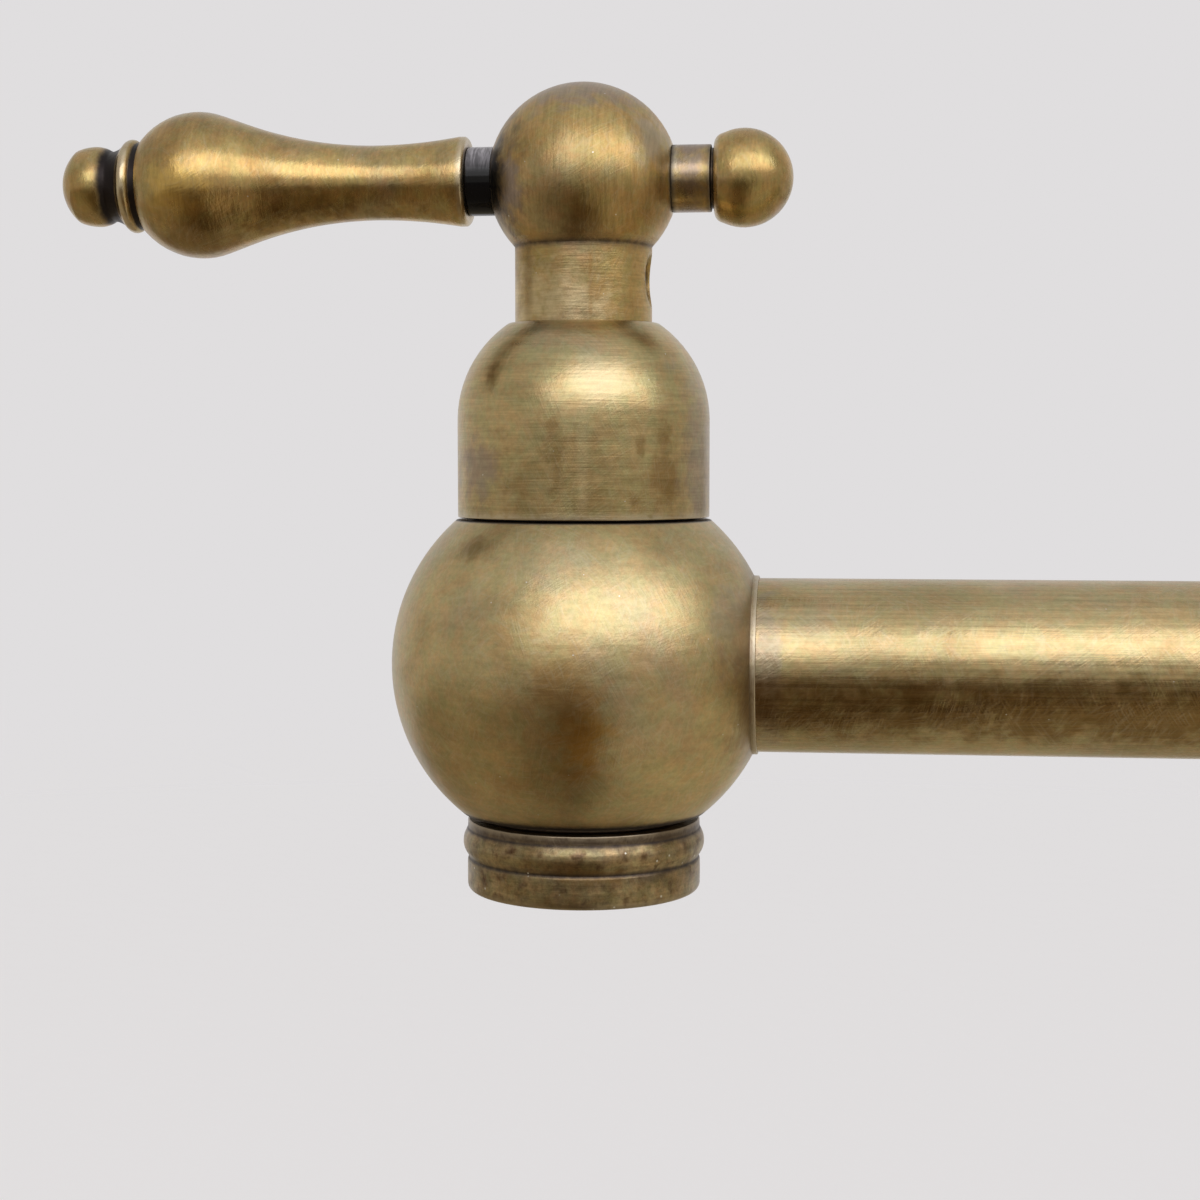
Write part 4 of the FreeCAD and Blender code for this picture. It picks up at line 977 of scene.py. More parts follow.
@dataclass
class Valve:
    """A valve's outer pieces: bonnet, hub, lever, its collar, and finial."""

    prefix: str
    finishes: "Finishes"
    bonnet: Dome = Dome()
    finial: Finial = Finial()
    lever_height: float = 55.4
    hub_foot: float = 36.5
    hub_bore: float = 4.1
    hub_bore_end: float = 48.3
    neck: float = 7.85
    hub_ball: float = 10.93
    hub_top: float = 66.35
    brushed_below: float = 7.4      # how far below its centre the ball is brushed across
    seat: float = 10.2
    lever_seat: float = 4.2
    finial_seat: float = 3.95
    stud_hole: float = 2.55
    hole_start: float = 1.0
    hole_end: float = 14.0
    grub_hole: float = 2.6
    grub_height: float = 44.0
    grub_end: float = 12.0
    grub_flare: float = 0.6
    grub_lip: float = 0.75
    collar_end: float = 13.2
    collar_radius: float = 3.9
    lever_end: float = 61.35

    def place(self) -> Vector:
        """The valve's centre, in mm."""
        low, high = box_mm(f"{self.prefix}_bonnet")
        middle = (low + high) / 2
        return Vector((middle.x, middle.y, low.z - self.bonnet.foot))

    def build(self, hub: bpy.types.Object) -> None:
        """Build and dress the pieces.

        Args:
            hub: the hub that was built about the origin.
        """
        place = self.place()
        axis = place + UP * self.lever_height
        along_lever, along_finial = standing(axis, LEVER_WAY), standing(axis, FINIAL_WAY)
        f, prefix = self.finishes, self.prefix
        # The dark places darken the bonnet's mouth, the lever's cove, groove and collar joint, and
        # the finial's joints, with patina and painted shade.
        turned(f"{prefix}_bonnet", self.bonnet.outline(), standing(place), f.dome,
               dark=[(self.bonnet.mouth, self.bonnet.spring + self.bonnet.rise, 0.5)])
        placed = copied(hub, f"{prefix}_hub_finished", Matrix.Translation(place))
        fitted(placed, f"{prefix}_hub", f.hub)
        turned(f"{prefix}_lever", self.lever_outline(), along_lever, f.lever,
               dark=[(4.0, 55.2, 1.7), (4.4, 54.3, 1.0), (4.95, 51.8, 0.75), (2.9, 13.2, 1.6)])
        turned(f"{prefix}_finial", self.finial.outline(), along_finial, f.finial,
               dark=[(3.4, 14.8, 1.25), (3.8, 10.2, 0.7)])
        ring = [(self.stud_hole, self.seat), (self.collar_radius, self.seat),
                (self.collar_radius, self.collar_end), (self.stud_hole, self.collar_end)]
        turned(f"{prefix}_lever_collar", ring, along_lever, f.collar, longest=0.25)

    def drilled(self, radius: float, start: float, end: float, flare: float = 0.0) -> list[Step]:
        """The open outline of a drilled hole, with a flare where it leaves the neck."""
        if not flare:
            return [(0, start), (radius, start), (radius, end), (0, end)]
        lip, wide = self.neck - self.grub_lip, radius + flare
        return [(0, start), (radius, start), (radius, lip), (wide, lip + flare * 1.2),
                (wide, end), (0, end)]

    def hub_form(self) -> bpy.types.Object:
        """Build the hub about the origin, with its seats and holes cut."""
        middle = self.hub_top - self.hub_ball
        shoulder = middle - side_of(self.hub_ball, self.neck)
        # The dark place darkens where the ball meets the neck, with patina and painted shade.
        body = Profile([(0, self.hub_bore_end), (self.hub_bore, self.hub_bore_end),
                        (self.hub_bore, self.hub_foot), (self.neck, self.hub_foot),
                        (self.neck, shoulder), (0, self.hub_top, self.hub_ball, Bulge.RIGHT)],
                       dark=[(self.neck, shoulder, 0.55)])
        hub = spun("hub_form", body, Matrix.Identity(4))
        sources = [(body, Matrix.Identity(4), Carving.JOIN)]
        hole = self.drilled(self.stud_hole, self.hole_start, self.hole_end)
        lever_seat = self.drilled(self.lever_seat, self.seat, self.hole_end)
        finial_seat = self.drilled(self.finial_seat, self.seat, self.hole_end)
        grub = self.drilled(self.grub_hole, self.hole_start, self.grub_end, self.grub_flare)
        for steps, height, way in (
            (hole, self.lever_height, LEVER_WAY), (hole, self.lever_height, FINIAL_WAY),
            (lever_seat, self.lever_height, LEVER_WAY),
            (finial_seat, self.lever_height, FINIAL_WAY), (grub, self.grub_height, FINIAL_WAY),
        ):
            profile = Profile(steps, easing=0.03)
            stand = standing(UP * height, way)
            carved(hub, spun("hub_cut", profile, stand, chord=0.5), Carving.CUT)
            sources.append((profile, stand, Carving.CUT))
        remarked(hub, sources)
        self.brush_across(hub, middle)
        return hub

    def brush_across(self, hub: bpy.types.Object, middle: float) -> None:
        """Turn the marks of the hub's ball round the lever's axis, as the polisher did."""
        attribute = hub.data.attributes["turned"]
        for vertex in hub.data.vertices:
            x, y, z = vertex.co / MM
            away = math.hypot(y, z - middle)
            if z > middle - self.brushed_below and away > 1e-6:
                attribute.data[vertex.index].vector = (y / away, (z - middle) / away, x)

    def lever_outline(self) -> list[Step]:
        """The lever's open outline: flared foot, slim waist, bulb, cove, bead and knob."""
        foot, waist, shank = 5.08, 4.25, 6.83
        return [
            (0, 30.3), (self.stud_hole, 30.3), (self.stud_hole, self.collar_end),
            (foot - 0.3, self.collar_end), (foot, self.collar_end + 0.3), (foot, 14.3),
            (waist, 24.0, level_arc(9.7, foot - waist), Bulge.LEFT),
            (shank, 39.0, level_arc(15.0, shank - waist), Bulge.LEFT),
            (7.9, 42.0), (8.4, 44.9, 8.734, Bulge.RIGHT), (5.55, 51.3, 8.734, Bulge.RIGHT),
            (4.95, 51.3), (4.95, 52.2), (4.9, 53.6, 0.76, Bulge.RIGHT),
            (4.0, 55.4, 3.0, Bulge.LEFT), (4.62, 57.3, 3.2, Bulge.RIGHT),
            (4.2, 59.4, 5.5, Bulge.RIGHT), (0, self.lever_end, level_arc(4.2, 1.95), Bulge.RIGHT),
        ]


@dataclass
class Ball:
    """The balls that carry the valves, the swivels and the tubes' ends."""

    finishes: "Finishes"
    radius: float = 22.2
    face: float = 17.2
    shoulder: float = 16.7          # where the ball ends under a dome
    spigot: float = 12.4            # the radius of what the dome screws on
    valve_seat: float = 11.5
    floor: float = 10.0             # how far below its centre a valve's chamber ends
    post: float = 8.05              # the radius of a swivel post's bore
    chamber: float = 13.0
    chamber_height: float = 7.0
    button: float = 6.0
    lip: float = 10.3
    lip_start: float = 14.0
    lip_end: float = 20.3
    socket: float = 10.03
    socket_start: float = 16.5
    socket_end: float = 26.0
    port: float = 6.6
    port_start: float = 12.0
    port_end: float = 17.5

    def rim(self) -> float:
        """The ball's radius at a face that is turned flat."""
        return side_of(self.radius, self.face)

    def skin(self, bore: float) -> list[Step]:
        """The outer steps of a ball under a dome, from a bore below to the dome's spigot."""
        return [(bore, -self.face), (self.rim(), -self.face),
                (side_of(self.radius, self.shoulder), self.shoulder, self.radius, Bulge.RIGHT),
                (self.spigot, self.shoulder)]

    def valve_outline(self, bore: float, depth: float) -> list[Step]:
        """The closed outline of a ball with a valve's seat above and a bore below."""
        return [*self.skin(bore), (self.spigot, 22.0), (10.45, 22.0), (10.45, self.valve_seat),
                (14.745, self.valve_seat), (15.801, -self.floor, 18.7, Bulge.LEFT),
                (6.0, -self.floor), (6.0, -depth), (bore, -depth)]

    def swivel_outline(self) -> list[Step]:
        """The closed outline of a ball that turns on a swivel's post."""
        return [*self.skin(self.post), (self.spigot, 20.2), (11.2, 20.2), (11.2, 16.0),
                (self.post, 16.0), (self.post, self.chamber_height),
                (self.chamber, self.chamber_height), (self.chamber, -self.chamber_height),
                (self.post, -self.chamber_height)]

    def elbow_outline(self) -> list[Step]:
        """The open outline of a ball that ends in a small button below."""
        edge = self.button - 0.8
        return [(0, -25.2), (edge, -24.2, level_arc(edge, 1.0), Bulge.RIGHT),
                (self.button, -23.4, 0.8, Bulge.RIGHT),
                (self.button, -side_of(self.radius, self.button)),
                (self.rim(), self.face, self.radius, Bulge.RIGHT), (self.post, self.face),
                (self.post, 12.5), (6.0, 12.5), (6.0, self.chamber_height),
                (self.chamber, self.chamber_height), (self.chamber, -self.chamber_height),
                (0, -self.chamber_height)]

    @staticmethod
    def plug(radius: float, start: float, end: float, easing: float) -> Profile:
        """A plain round plug, to be joined to a ball or cut from it."""
        return Profile([(0, start), (radius, start), (radius, end), (0, end)], easing=easing)

    def form(self, outline: list[Step], port: bool) -> bpy.types.Object:
        """Build a ball about the origin, with its socket along +X.

        Args:
            outline: the ball's outline.
            port: whether a narrower port leads on from the socket.

        Returns:
            The ball, not yet at its place.
        """
        stand = standing(Vector(), FINIAL_WAY)
        shoulder = side_of(self.radius, self.shoulder)
        # Dark places at the ball's lower rim, by the gap below it, and under the dome's foot:
        # patina and painted shade.
        body = Profile(outline, dark=[(self.rim(), -self.face, 1.3),
                                      (shoulder, self.shoulder, 0.25)])
        lip = self.plug(self.lip, self.lip_start, self.lip_end, 0.12)
        ball = spun("ball_form", body, Matrix.Identity(4))
        cuts = [self.plug(self.socket, self.socket_start, self.socket_end, 0.02)]
        if port:
            cuts.append(self.plug(self.port, self.port_start, self.port_end, 0.02))
        sources = [(body, Matrix.Identity(4), Carving.JOIN), (lip, stand, Carving.JOIN)]
        carved(ball, spun("lip", lip, stand), Carving.JOIN)
        for cut in cuts:
            carved(ball, spun("socket", cut, stand), Carving.CUT)
            sources.append((cut, stand, Carving.CUT))
        remarked(ball, sources)
        return ball

    def build(self) -> None:
        """Build the five balls."""
        half_turn = Euler((math.pi, 0, 0)).to_matrix().to_4x4()
        forms = {
            "valve": self.form(self.valve_outline(11.95, 12.0), False),
            "wall": self.form(self.valve_outline(8.05, 12.5), False),
            "swivel": self.form(self.swivel_outline(), True),
            "elbow": self.form(self.elbow_outline(), True),
        }
        for node, form, degrees, over in (
            ("wall_valve_ball", "wall", 90, False), ("arm_1_wall_ball", "swivel", -90, True),
            ("arm_1_elbow_ball", "elbow", 90, False), ("arm_2_elbow_ball", "swivel", 180, False),
            ("outlet_valve_ball", "valve", 0, False),
        ):
            place = Matrix.Rotation(math.radians(degrees), 4, "Z")
            place = Matrix.Translation(self.place(node)) @ place
            piece = copied(forms[form], f"{node}_finished", place @ half_turn if over else place)
            fitted(piece, node, self.finishes.ball)
        for form in forms.values():
            bpy.data.objects.remove(form)

    @staticmethod
    def place(node: str) -> Vector:
        """A ball's centre: on its tube's axis and its valve's or swivel's."""
        tube = {"wall_valve_ball": "inlet_tail", "outlet_valve_ball": "arm_2_tube",
                "arm_2_elbow_ball": "arm_2_tube"}.get(node, "arm_1_tube")
        carried = {"wall_valve_ball": "wall_bonnet", "outlet_valve_ball": "outlet_bonnet",
                   "arm_2_elbow_ball": "elbow_swivel_cap", "arm_1_elbow_ball": "elbow_swivel_cap",
                   "arm_1_wall_ball": "wall_swivel_cap"}[node]
        run, top = sum(box_mm(tube), Vector()) / 2, sum(box_mm(carried), Vector()) / 2
        return Vector((top.x, top.y, run.z))


@dataclass
class Swivels:
    """The swivels' collars, domed caps and finials, at the wall and at the elbow."""

    finishes: "Finishes"
    cap: Dome = Dome(spring=20.5, mouth=2.55)
    ring: BeadedRing = BeadedRing()
    finial: Finial = Finial()
    finial_lift: float = 21.4
    bore: float = 8.05
    foot: float = -26.8
    ring_start: float = -26.1
    top: float = -18.0

    def build(self) -> None:
        """Build both swivels, the wall's upside down."""
        for prefix, way in (("wall", DOWN), ("elbow", UP)):
            low, high = box_mm(f"{prefix}_swivel_cap")
            middle = (low + high) / 2
            foot = low.z if way is UP else high.z
            place = Vector((middle.x, middle.y, foot)) - way * self.cap.foot
            stand = standing(place, way)
            steps = [(self.bore, self.foot), (12.0, self.foot), (12.0, self.ring_start),
                     *self.ring.steps(self.ring_start, 1), (self.bore, self.top)]
            turned(f"{prefix}_swivel_collar", steps, stand, self.finishes.beads)
            turned(f"{prefix}_swivel_cap", self.cap.outline(), stand, self.finishes.dome)
            lifted = standing(place + way * self.finial_lift, way)
            turned(f"{prefix}_swivel_finial", self.finial.outline(), lifted, self.finishes.finial)


@dataclass
class Arms:
    """The two arm tubes, and the short tail at the wall."""

    finishes: "Finishes"
    bore: float = 8.8
    radius: float = 10.0
    tail_collar: float = 12.9
    tail_collar_end: float = 19.5
    tail_start: float = 17.0

    def build(self) -> None:
        """Build the tubes where the frame holds them."""
        for node, axis in (("arm_1_tube", 1), ("arm_2_tube", 0)):
            low, high = box_mm(node)
            start = (low + high) / 2
            start[axis] = low[axis]
            length = high[axis] - low[axis]
            way = Vector([1.0 if k == axis else 0.0 for k in range(3)])
            steps = [(self.bore, 0), (self.radius, 0), (self.radius, length), (self.bore, length)]
            turned(node, steps, standing(start, way), self.finishes.tube, longest=3.0)
        low, high = box_mm("inlet_tail")
        start = (low + high) / 2
        start.y = high.y
        end, collar = high.y - low.y, self.tail_collar_end - self.tail_start
        steps = [(self.bore, 0), (self.tail_collar, 0), (self.tail_collar, collar),
                 (self.radius, collar), (self.radius, end), (self.bore, end)]
        turned("inlet_tail", steps, standing(start, OUT_OF_WALL), self.finishes.tube)


@dataclass
class Outlet:
    """The aerator's housing."""

    finishes: "Finishes"
    ring: BeadedRing = BeadedRing(neck=13.5, groove=13.35, rim=13.55, bead_start=1.2, bead_end=4.4,
                                  bead_curve=2.4, neck_end=4.7, rim_end=7.65, foot=8.45)
    top: float = -13.5
    shoulder: float = -17.9
    bore: float = 10.5
    thread: float = 11.9
    lip: float = 9.7
    lip_top: float = -25.1

    def build(self) -> None:
        """Build the housing."""
        low, high = box_mm("aerator_housing")
        middle = (low + high) / 2
        place = Vector((middle.x, middle.y, high.z - self.top))
        steps = [(self.bore, self.top), (self.thread, self.top), (self.thread, self.shoulder),
                 *self.ring.steps(self.shoulder, -1), (self.lip, self.shoulder - self.ring.foot),
                 (self.lip, self.lip_top), (self.bore, self.lip_top)]
        # The joints darken the aerator's neck and groove, with patina and painted shade.
        joints = ((self.ring.neck, self.shoulder - self.ring.bead_start, 0.5),
                  (self.ring.groove, self.shoulder - 4.55, 0.6))
        turned("aerator_housing", steps, standing(place), self.finishes.beads,
               easing=0.2, dark=joints)


@dataclass
class WallEnd:
    """The bell flange on the wall, and the adapter in it with its pipe thread."""

    finishes: "Finishes"
    base: float = 30.0
    height: float = 32.0
    inside: float = 18.2
    bell: float = 20.4
    mouth: float = 13.0
    tail: float = 10.1
    groove: float = 11.5
    bore: float = 7.5
    body: float = 13.2
    body_end: float = 15.5
    hexagon: float = 27.0           # mm across its flats
    hexagon_end: float = 7.0
    thread: float = 10.48
    pitch: float = 1.814
    thread_depth: float = 1.16
    thread_end: float = -16.0

    def build(self) -> None:
        """Build the flange and the adapter."""
        low, high = box_mm("wall_flange")
        middle = (low + high) / 2
        stand = standing(Vector((middle.x, high.y, middle.z)), OUT_OF_WALL)
        flange = [
            (self.inside, 0), (self.base, 0), (self.base, 3.0), (28.4, 4.2, 3.2, Bulge.RIGHT),
            (26.6, 4.2), (self.bell, 11.0, 7.5, Bulge.LEFT), (self.bell, 23.0),
            (self.mouth, 30.4, 7.4, Bulge.RIGHT), (self.mouth, self.height),
            (self.tail, self.height), (self.tail, 29.1), (self.groove, 29.1), (self.groove, 27.3),
            (self.tail, 27.3), (self.tail, 24.2), (self.inside, 24.2),
        ]
        turned("wall_flange", flange, stand, self.finishes.ball)
        corner = self.corner()
        adapter = [
            (self.bore, self.thread_end), (self.thread - 1.0, self.thread_end),
            (self.thread, self.thread_end + 1.0), (self.thread, 1.0), (corner, 1.0),
            (corner, self.hexagon_end), (self.body, self.hexagon_end),
            (self.body, self.body_end), (self.bore, self.body_end),
        ]
        turned("wall_adapter", adapter, stand, self.finishes.threaded,
               self.hexagon_and_thread, longest=0.22)

    def corner(self) -> float:
        """The hexagon's radius at its corners."""
        return self.hexagon / 2 / math.cos(math.radians(30))

    def hexagon_and_thread(self, angle: np.ndarray, radius: np.ndarray,
                           height: np.ndarray) -> np.ndarray:
        """How far the adapter's points move outward, for its hexagon and its thread."""
        flat = self.hexagon / 2 / np.cos(np.mod(angle, math.pi / 3) - math.pi / 6)
        share = (flat - self.body) / (self.corner() - self.body)
        stretched = self.body + (radius - self.body) * share - radius
        on_hexagon = (radius > self.body) & (height < self.hexagon_end + 0.3)
        move = np.where(on_hexagon, stretched, 0.0)
        turn = np.mod(height / self.pitch - angle / (2 * math.pi), 1.0)
        groove = self.thread_depth * np.clip(np.abs(turn - 0.5) * 2.6 - 0.15, 0, 1)
        runout = np.clip((-0.8 - height) / 1.2, 0, 1)
        runout *= np.clip((height - self.thread_end) / 0.8, 0, 1)
        on_thread = (radius > self.thread - 1.2) & (height < 0.5)
        return np.where(on_thread, move - groove * runout, move)


# ---------------------------------------------------------------- the finishes and the inner parts
WARM = {"gold": (0.49, 0.347, 0.142), "olive": (0.39, 0.28, 0.115), "umber": (0.23, 0.125, 0.038)}
# Tint patches by piece. Most are stains; the ones marked below are painted light and shade.
TINT_PATCHES: dict[str, tuple[TintPatch, ...]] = {
    "ball": (
        TintPatch((-237.5, -366.6, -6.5), (3.9, 6.0, 6.5), 0.8, Tint.COPPER),
        TintPatch((-239.6, -366.8, -0.5), (5.0, 6.0, 5.5), 0.6, Tint.RED_BROWN),
        # painted shade on the ball beside the tube's socket
        TintPatch((-219.2, -354.0, -4.0), (4.5, 9.0, 12.0), 0.55),
        TintPatch((-250.4, -358.9, 13.8), (3.2, 3.0, 2.6), 0.5),
        TintPatch((-221.9, -356.3, 5.0), (4.0, 6.0, 8.0), 0.4, Tint.LILAC),
    ),
    "dome": (
        # painted highlight on the bonnet's crown, where the softbox reflects
        TintPatch((-236.3, -358.2, 32.6), (5.0, 3.5, 3.6), 0.4, Tint.BRIGHT),
        TintPatch((-245.0, -357.9, 37.4), (1.8, 2.0, 1.3), 0.75),
        TintPatch((-247.2, -357.0, 35.5), (1.5, 1.6, 1.8), 0.75),
        TintPatch((-249.1, -355.6, 32.9), (1.2, 2.0, 2.4), 0.7),
        TintPatch((-229.2, -353.6, 35.3), (1.4, 2.6, 3.0), 0.45, Tint.LILAC),
        TintPatch((-233.0, -357.1, 19.2), (0.7, 1.2, 1.8), 0.6),
        TintPatch((-240.0, -345.0, 20.0), (24.0, 24.0, 11.0), 0.45),
        # painted reflection: a dark vertical band down the front of the bonnet's side
        TintPatch((-241.3, -359.4, 24.5), (1.3, 3.0, 7.5), 0.4),
        # painted reflection: a thin pale vertical line down the bonnet's side, in line with the one
        # on the hub's neck
        TintPatch((-238.4, -359.4, 22.5), (0.9, 3.0, 8.5), 0.22, Tint.BRIGHT),
        TintPatch((-229.8, -355.0, 22.0), (1.8, 3.0, 9.0), 0.38),
        TintPatch((-232.2, -357.2, 25.2), (0.9, 1.6, 2.2), 0.4),
        TintPatch((-226.5, -348.0, 24.0), (3.0, 9.0, 14.0), 0.4, Tint.LILAC),
        TintPatch((-250.5, -354.2, 22.5), (4.0, 6.0, 5.0), 0.5, Tint.LILAC),
    ),
    "hub": (
        TintPatch((-242.5, -345.0, 41.0), (11.5, 12.0, 6.5), 0.8, Tint.BRIGHT),
        TintPatch((-239.2, -353.6, 50.4), (3.4, 3.0, 3.4), 0.7),
        # painted shade: dims the hub's highlight where the softbox reflects
        TintPatch((-237.2, -355.0, 58.8), (5.0, 3.5, 4.0), 0.16),
        # painted shade: the ball darkens towards the collar on its left, here and in the next patch
        TintPatch((-250.0, -347.5, 54.2), (6.6, 10.0, 9.5), 0.7, Tint.DUSK),
        TintPatch((-248.4, -351.8, 56.0), (4.6, 6.0, 9.0), 0.36, Tint.DUSK),
        # painted shade inside the grub screw's hole
        TintPatch((-232.6, -345.0, 44.0), (2.6, 3.4, 3.4), 0.8, Tint.DUSK),
        TintPatch((-247.2, -352.9, 53.8), (1.8, 3.0, 4.5), 0.65, Tint.LILAC),
        # painted shade: darker lilac over the top of the hub's ball
        TintPatch((-240.0, -347.0, 65.1), (11.0, 11.0, 5.0), 0.6, Tint.LILAC),
        TintPatch((-231.9, -350.6, 58.8), (3.4, 4.5, 5.0), 0.6, Tint.ASH),
        # painted reflection of the black collar on the hub's ball, beside it
        TintPatch((-249.5, -350.0, 55.2), (2.4, 3.9, 4.7), 1.0, Tint.COLLAR_REFLECTION),
        TintPatch((-245.6, -350.5, 43.0), (0.8, 3.0, 6.0), 0.35),
        # painted reflection: a thin red-brown line down the front of the neck, in line with the one
        # on the bonnet
        TintPatch((-238.3, -352.7, 43.0), (0.35, 3.0, 7.0), 0.4, Tint.RED_BROWN),
    ),
    "lever": (
        TintPatch((-285.2, -353.0, 54.2), (5.2, 4.0, 3.8), 0.7, Tint.AMBER),
        TintPatch((-283.5, -350.0, 48.0), (9.0, 7.0, 5.0), 0.6),
        # painted reflection: a dark band along the lower front of the shank, below its highlight
        TintPatch((-268.0, -350.5, 51.1), (17.0, 5.0, 3.0), 0.88),
    ),
    "finial": (
        TintPatch((-227.6, -345.0, 55.4), (2.6, 9.0, 9.0), 0.75, Tint.LILAC),
        TintPatch((-227.6, -345.0, 53.0), (2.6, 9.0, 9.0), 0.2, Tint.DUSK),
    ),
    "tube": (
        TintPatch((-218.5, -354.0, 0.0), (2.6, 12.0, 14.0), 0.45, Tint.LILAC),
        # painted reflection: a dark band along the lower front of the tube, below its highlight
        TintPatch((-150.0, -354.6, -4.6), (130.0, 6.0, 6.2), 0.85),
    ),
    "beads": (
        TintPatch((-240.0, -345.0, -18.4), (50.0, 50.0, 1.4), 1.0, Tint.DUSK),
        TintPatch((-238.0, -358.4, -22.5), (7.0, 5.0, 1.2), 0.75),
        TintPatch((-231.5, -355.8, -22.6), (3.5, 5.0, 1.2), 0.6, Tint.DUSK),
    ),
}


class Finishes:
    """Every finish, by the pieces that wear it."""

    ball: bpy.types.Material
    dome: bpy.types.Material
    hub: bpy.types.Material
    lever: bpy.types.Material
    finial: bpy.types.Material
    tube: bpy.types.Material
    beads: bpy.types.Material
    threaded: bpy.types.Material
    collar: bpy.types.Material

    def __init__(self) -> None:
        """Wire the materials."""
        self.effects = Effects()
        base = AgedBrass(
            "aged_brass_ball", mark_around=6.0, mark_along=1.4, mark_tone=0.06, scratch_light=0.22,
            scratch_depth=0.014, roughness=0.34, rubbed=(0.6, 0.53, 0.41),
        )
        looks = {
            "ball": base,
            "dome": replace(base, name="aged_brass_dome", mark_around=2.4, mark_along=4.5,
                            mark_tone=0.1, scratch_light=0.12, roughness=0.3),
            "hub": replace(base, name="aged_brass_hub", mark_around=2.2, mark_along=3.5,
                           mark_tone=0.11, scratch_light=0.12, mark_depth=0.025,
                           umber_share=0.5, cove_share=0.62, **WARM),
            "lever": replace(base, name="aged_brass_lever", mark_around=3.0, mark_along=3.0,
                             mark_tone=0.1, scratch_light=0.15, roughness=0.25, umber_share=0.5,
                             patch_scale=0.09, grime_and_cove_shade=(0.014, 0.013, 0.018), **WARM),
            "finial": replace(base, name="aged_brass_finial", mark_around=3.0, mark_along=3.5,
                              mark_tone=0.12, scratch_light=0.1, roughness=0.28,
                              patch_scale=0.14, cove_share=0.75, **WARM),
            "tube": replace(base, name="aged_brass_tube", mark_around=38.0, mark_along=0.14,
                            mark_depth=0.012, mark_tone=0.09, scratch_light=0.2,
                            scratch_depth=0.024, roughness=0.27, gold=(0.48, 0.38, 0.2),
                            olive=(0.39, 0.31, 0.16)),
            "beads": replace(base, name="aged_brass_beads", mark_around=3.0, mark_along=3.0,
                             mark_tone=0.13, patch_scale=0.4, scratch_light=0.2,
                             umber_share=1.0, cove_share=0.7, gold=(0.34, 0.262, 0.145),
                             olive=(0.235, 0.178, 0.088), umber=(0.1, 0.056, 0.027),
                             lilac=(0.18, 0.138, 0.105), rubbed=(0.38, 0.31, 0.22), grain=0.24,
                             speck_share=0.4, speck_pitch=0.85, roughness=0.33),
            "threaded": replace(base, name="brass_threaded", mark_around=2.0, mark_depth=0.006,
                                gold=(0.72, 0.56, 0.28), olive=(0.6, 0.46, 0.22),
                                umber_share=0.3, lilac_share=0.2),
        }
        for part, look in looks.items():
            patched = replace(look, tint_patches=TINT_PATCHES.get(part, ()))
            setattr(self, part, patched.material(self.effects))
        collar = Moulded("gloss_black_collar", (0.004, 0.004, 0.005), 0.12, depth=0.0006,
                         specular=0.2, painted_sheen=1.0)
        self.collar = collar.material(self.effects)

    def dress_inner(self) -> None:
        """Give every node that stays its finish, with its marks round its own axis."""
        plain = {
            "ceramic": Moulded("lapped_ceramic", (0.82, 0.82, 0.8), 0.22, depth=0.001, mottle=0.02),
            "black_rubber": Moulded("black_rubber", (0.03, 0.03, 0.03), 0.6),
            "white_washer": Moulded("white_plastic", (0.82, 0.82, 0.79), 0.42, mottle=0.04),
            "fibre_washer": Moulded("pressed_fibre", (0.42, 0.16, 0.1), 0.8, grain=5.0, depth=0.03),
            "moulded_insert": Moulded("pale_acetal", (0.72, 0.73, 0.74), 0.38, mottle=0.03,
                                      depth=0.003),
        }
        made = {slot: look.material(self.effects) for slot, look in plain.items()}
        metals = {"bare_brass": ((0.76, 0.6, 0.3), 0.3), "steel": ((0.56, 0.56, 0.57), 0.26)}
        for node, piece in frame["nodes"].items():
            slot = SLOT_OF[node]
            if slot in metals:
                across = FINIAL_WAY if "stud" in node or "grub" in node else UP
                axis = -OUT_OF_WALL if node == "union_nut" else across
                low, high = box_mm(node)
                colour, rough = metals[slot]
                look = Machined(f"{slot}_{node}", colour, (low + high) / 2, axis, rough)
                material = look.material(self.effects)
            elif slot in made:
                material = made[slot]
            else:
                continue
            for place in piece.material_slots:
                place.material = material
            LOG.info("%s: %s", node, material.name)


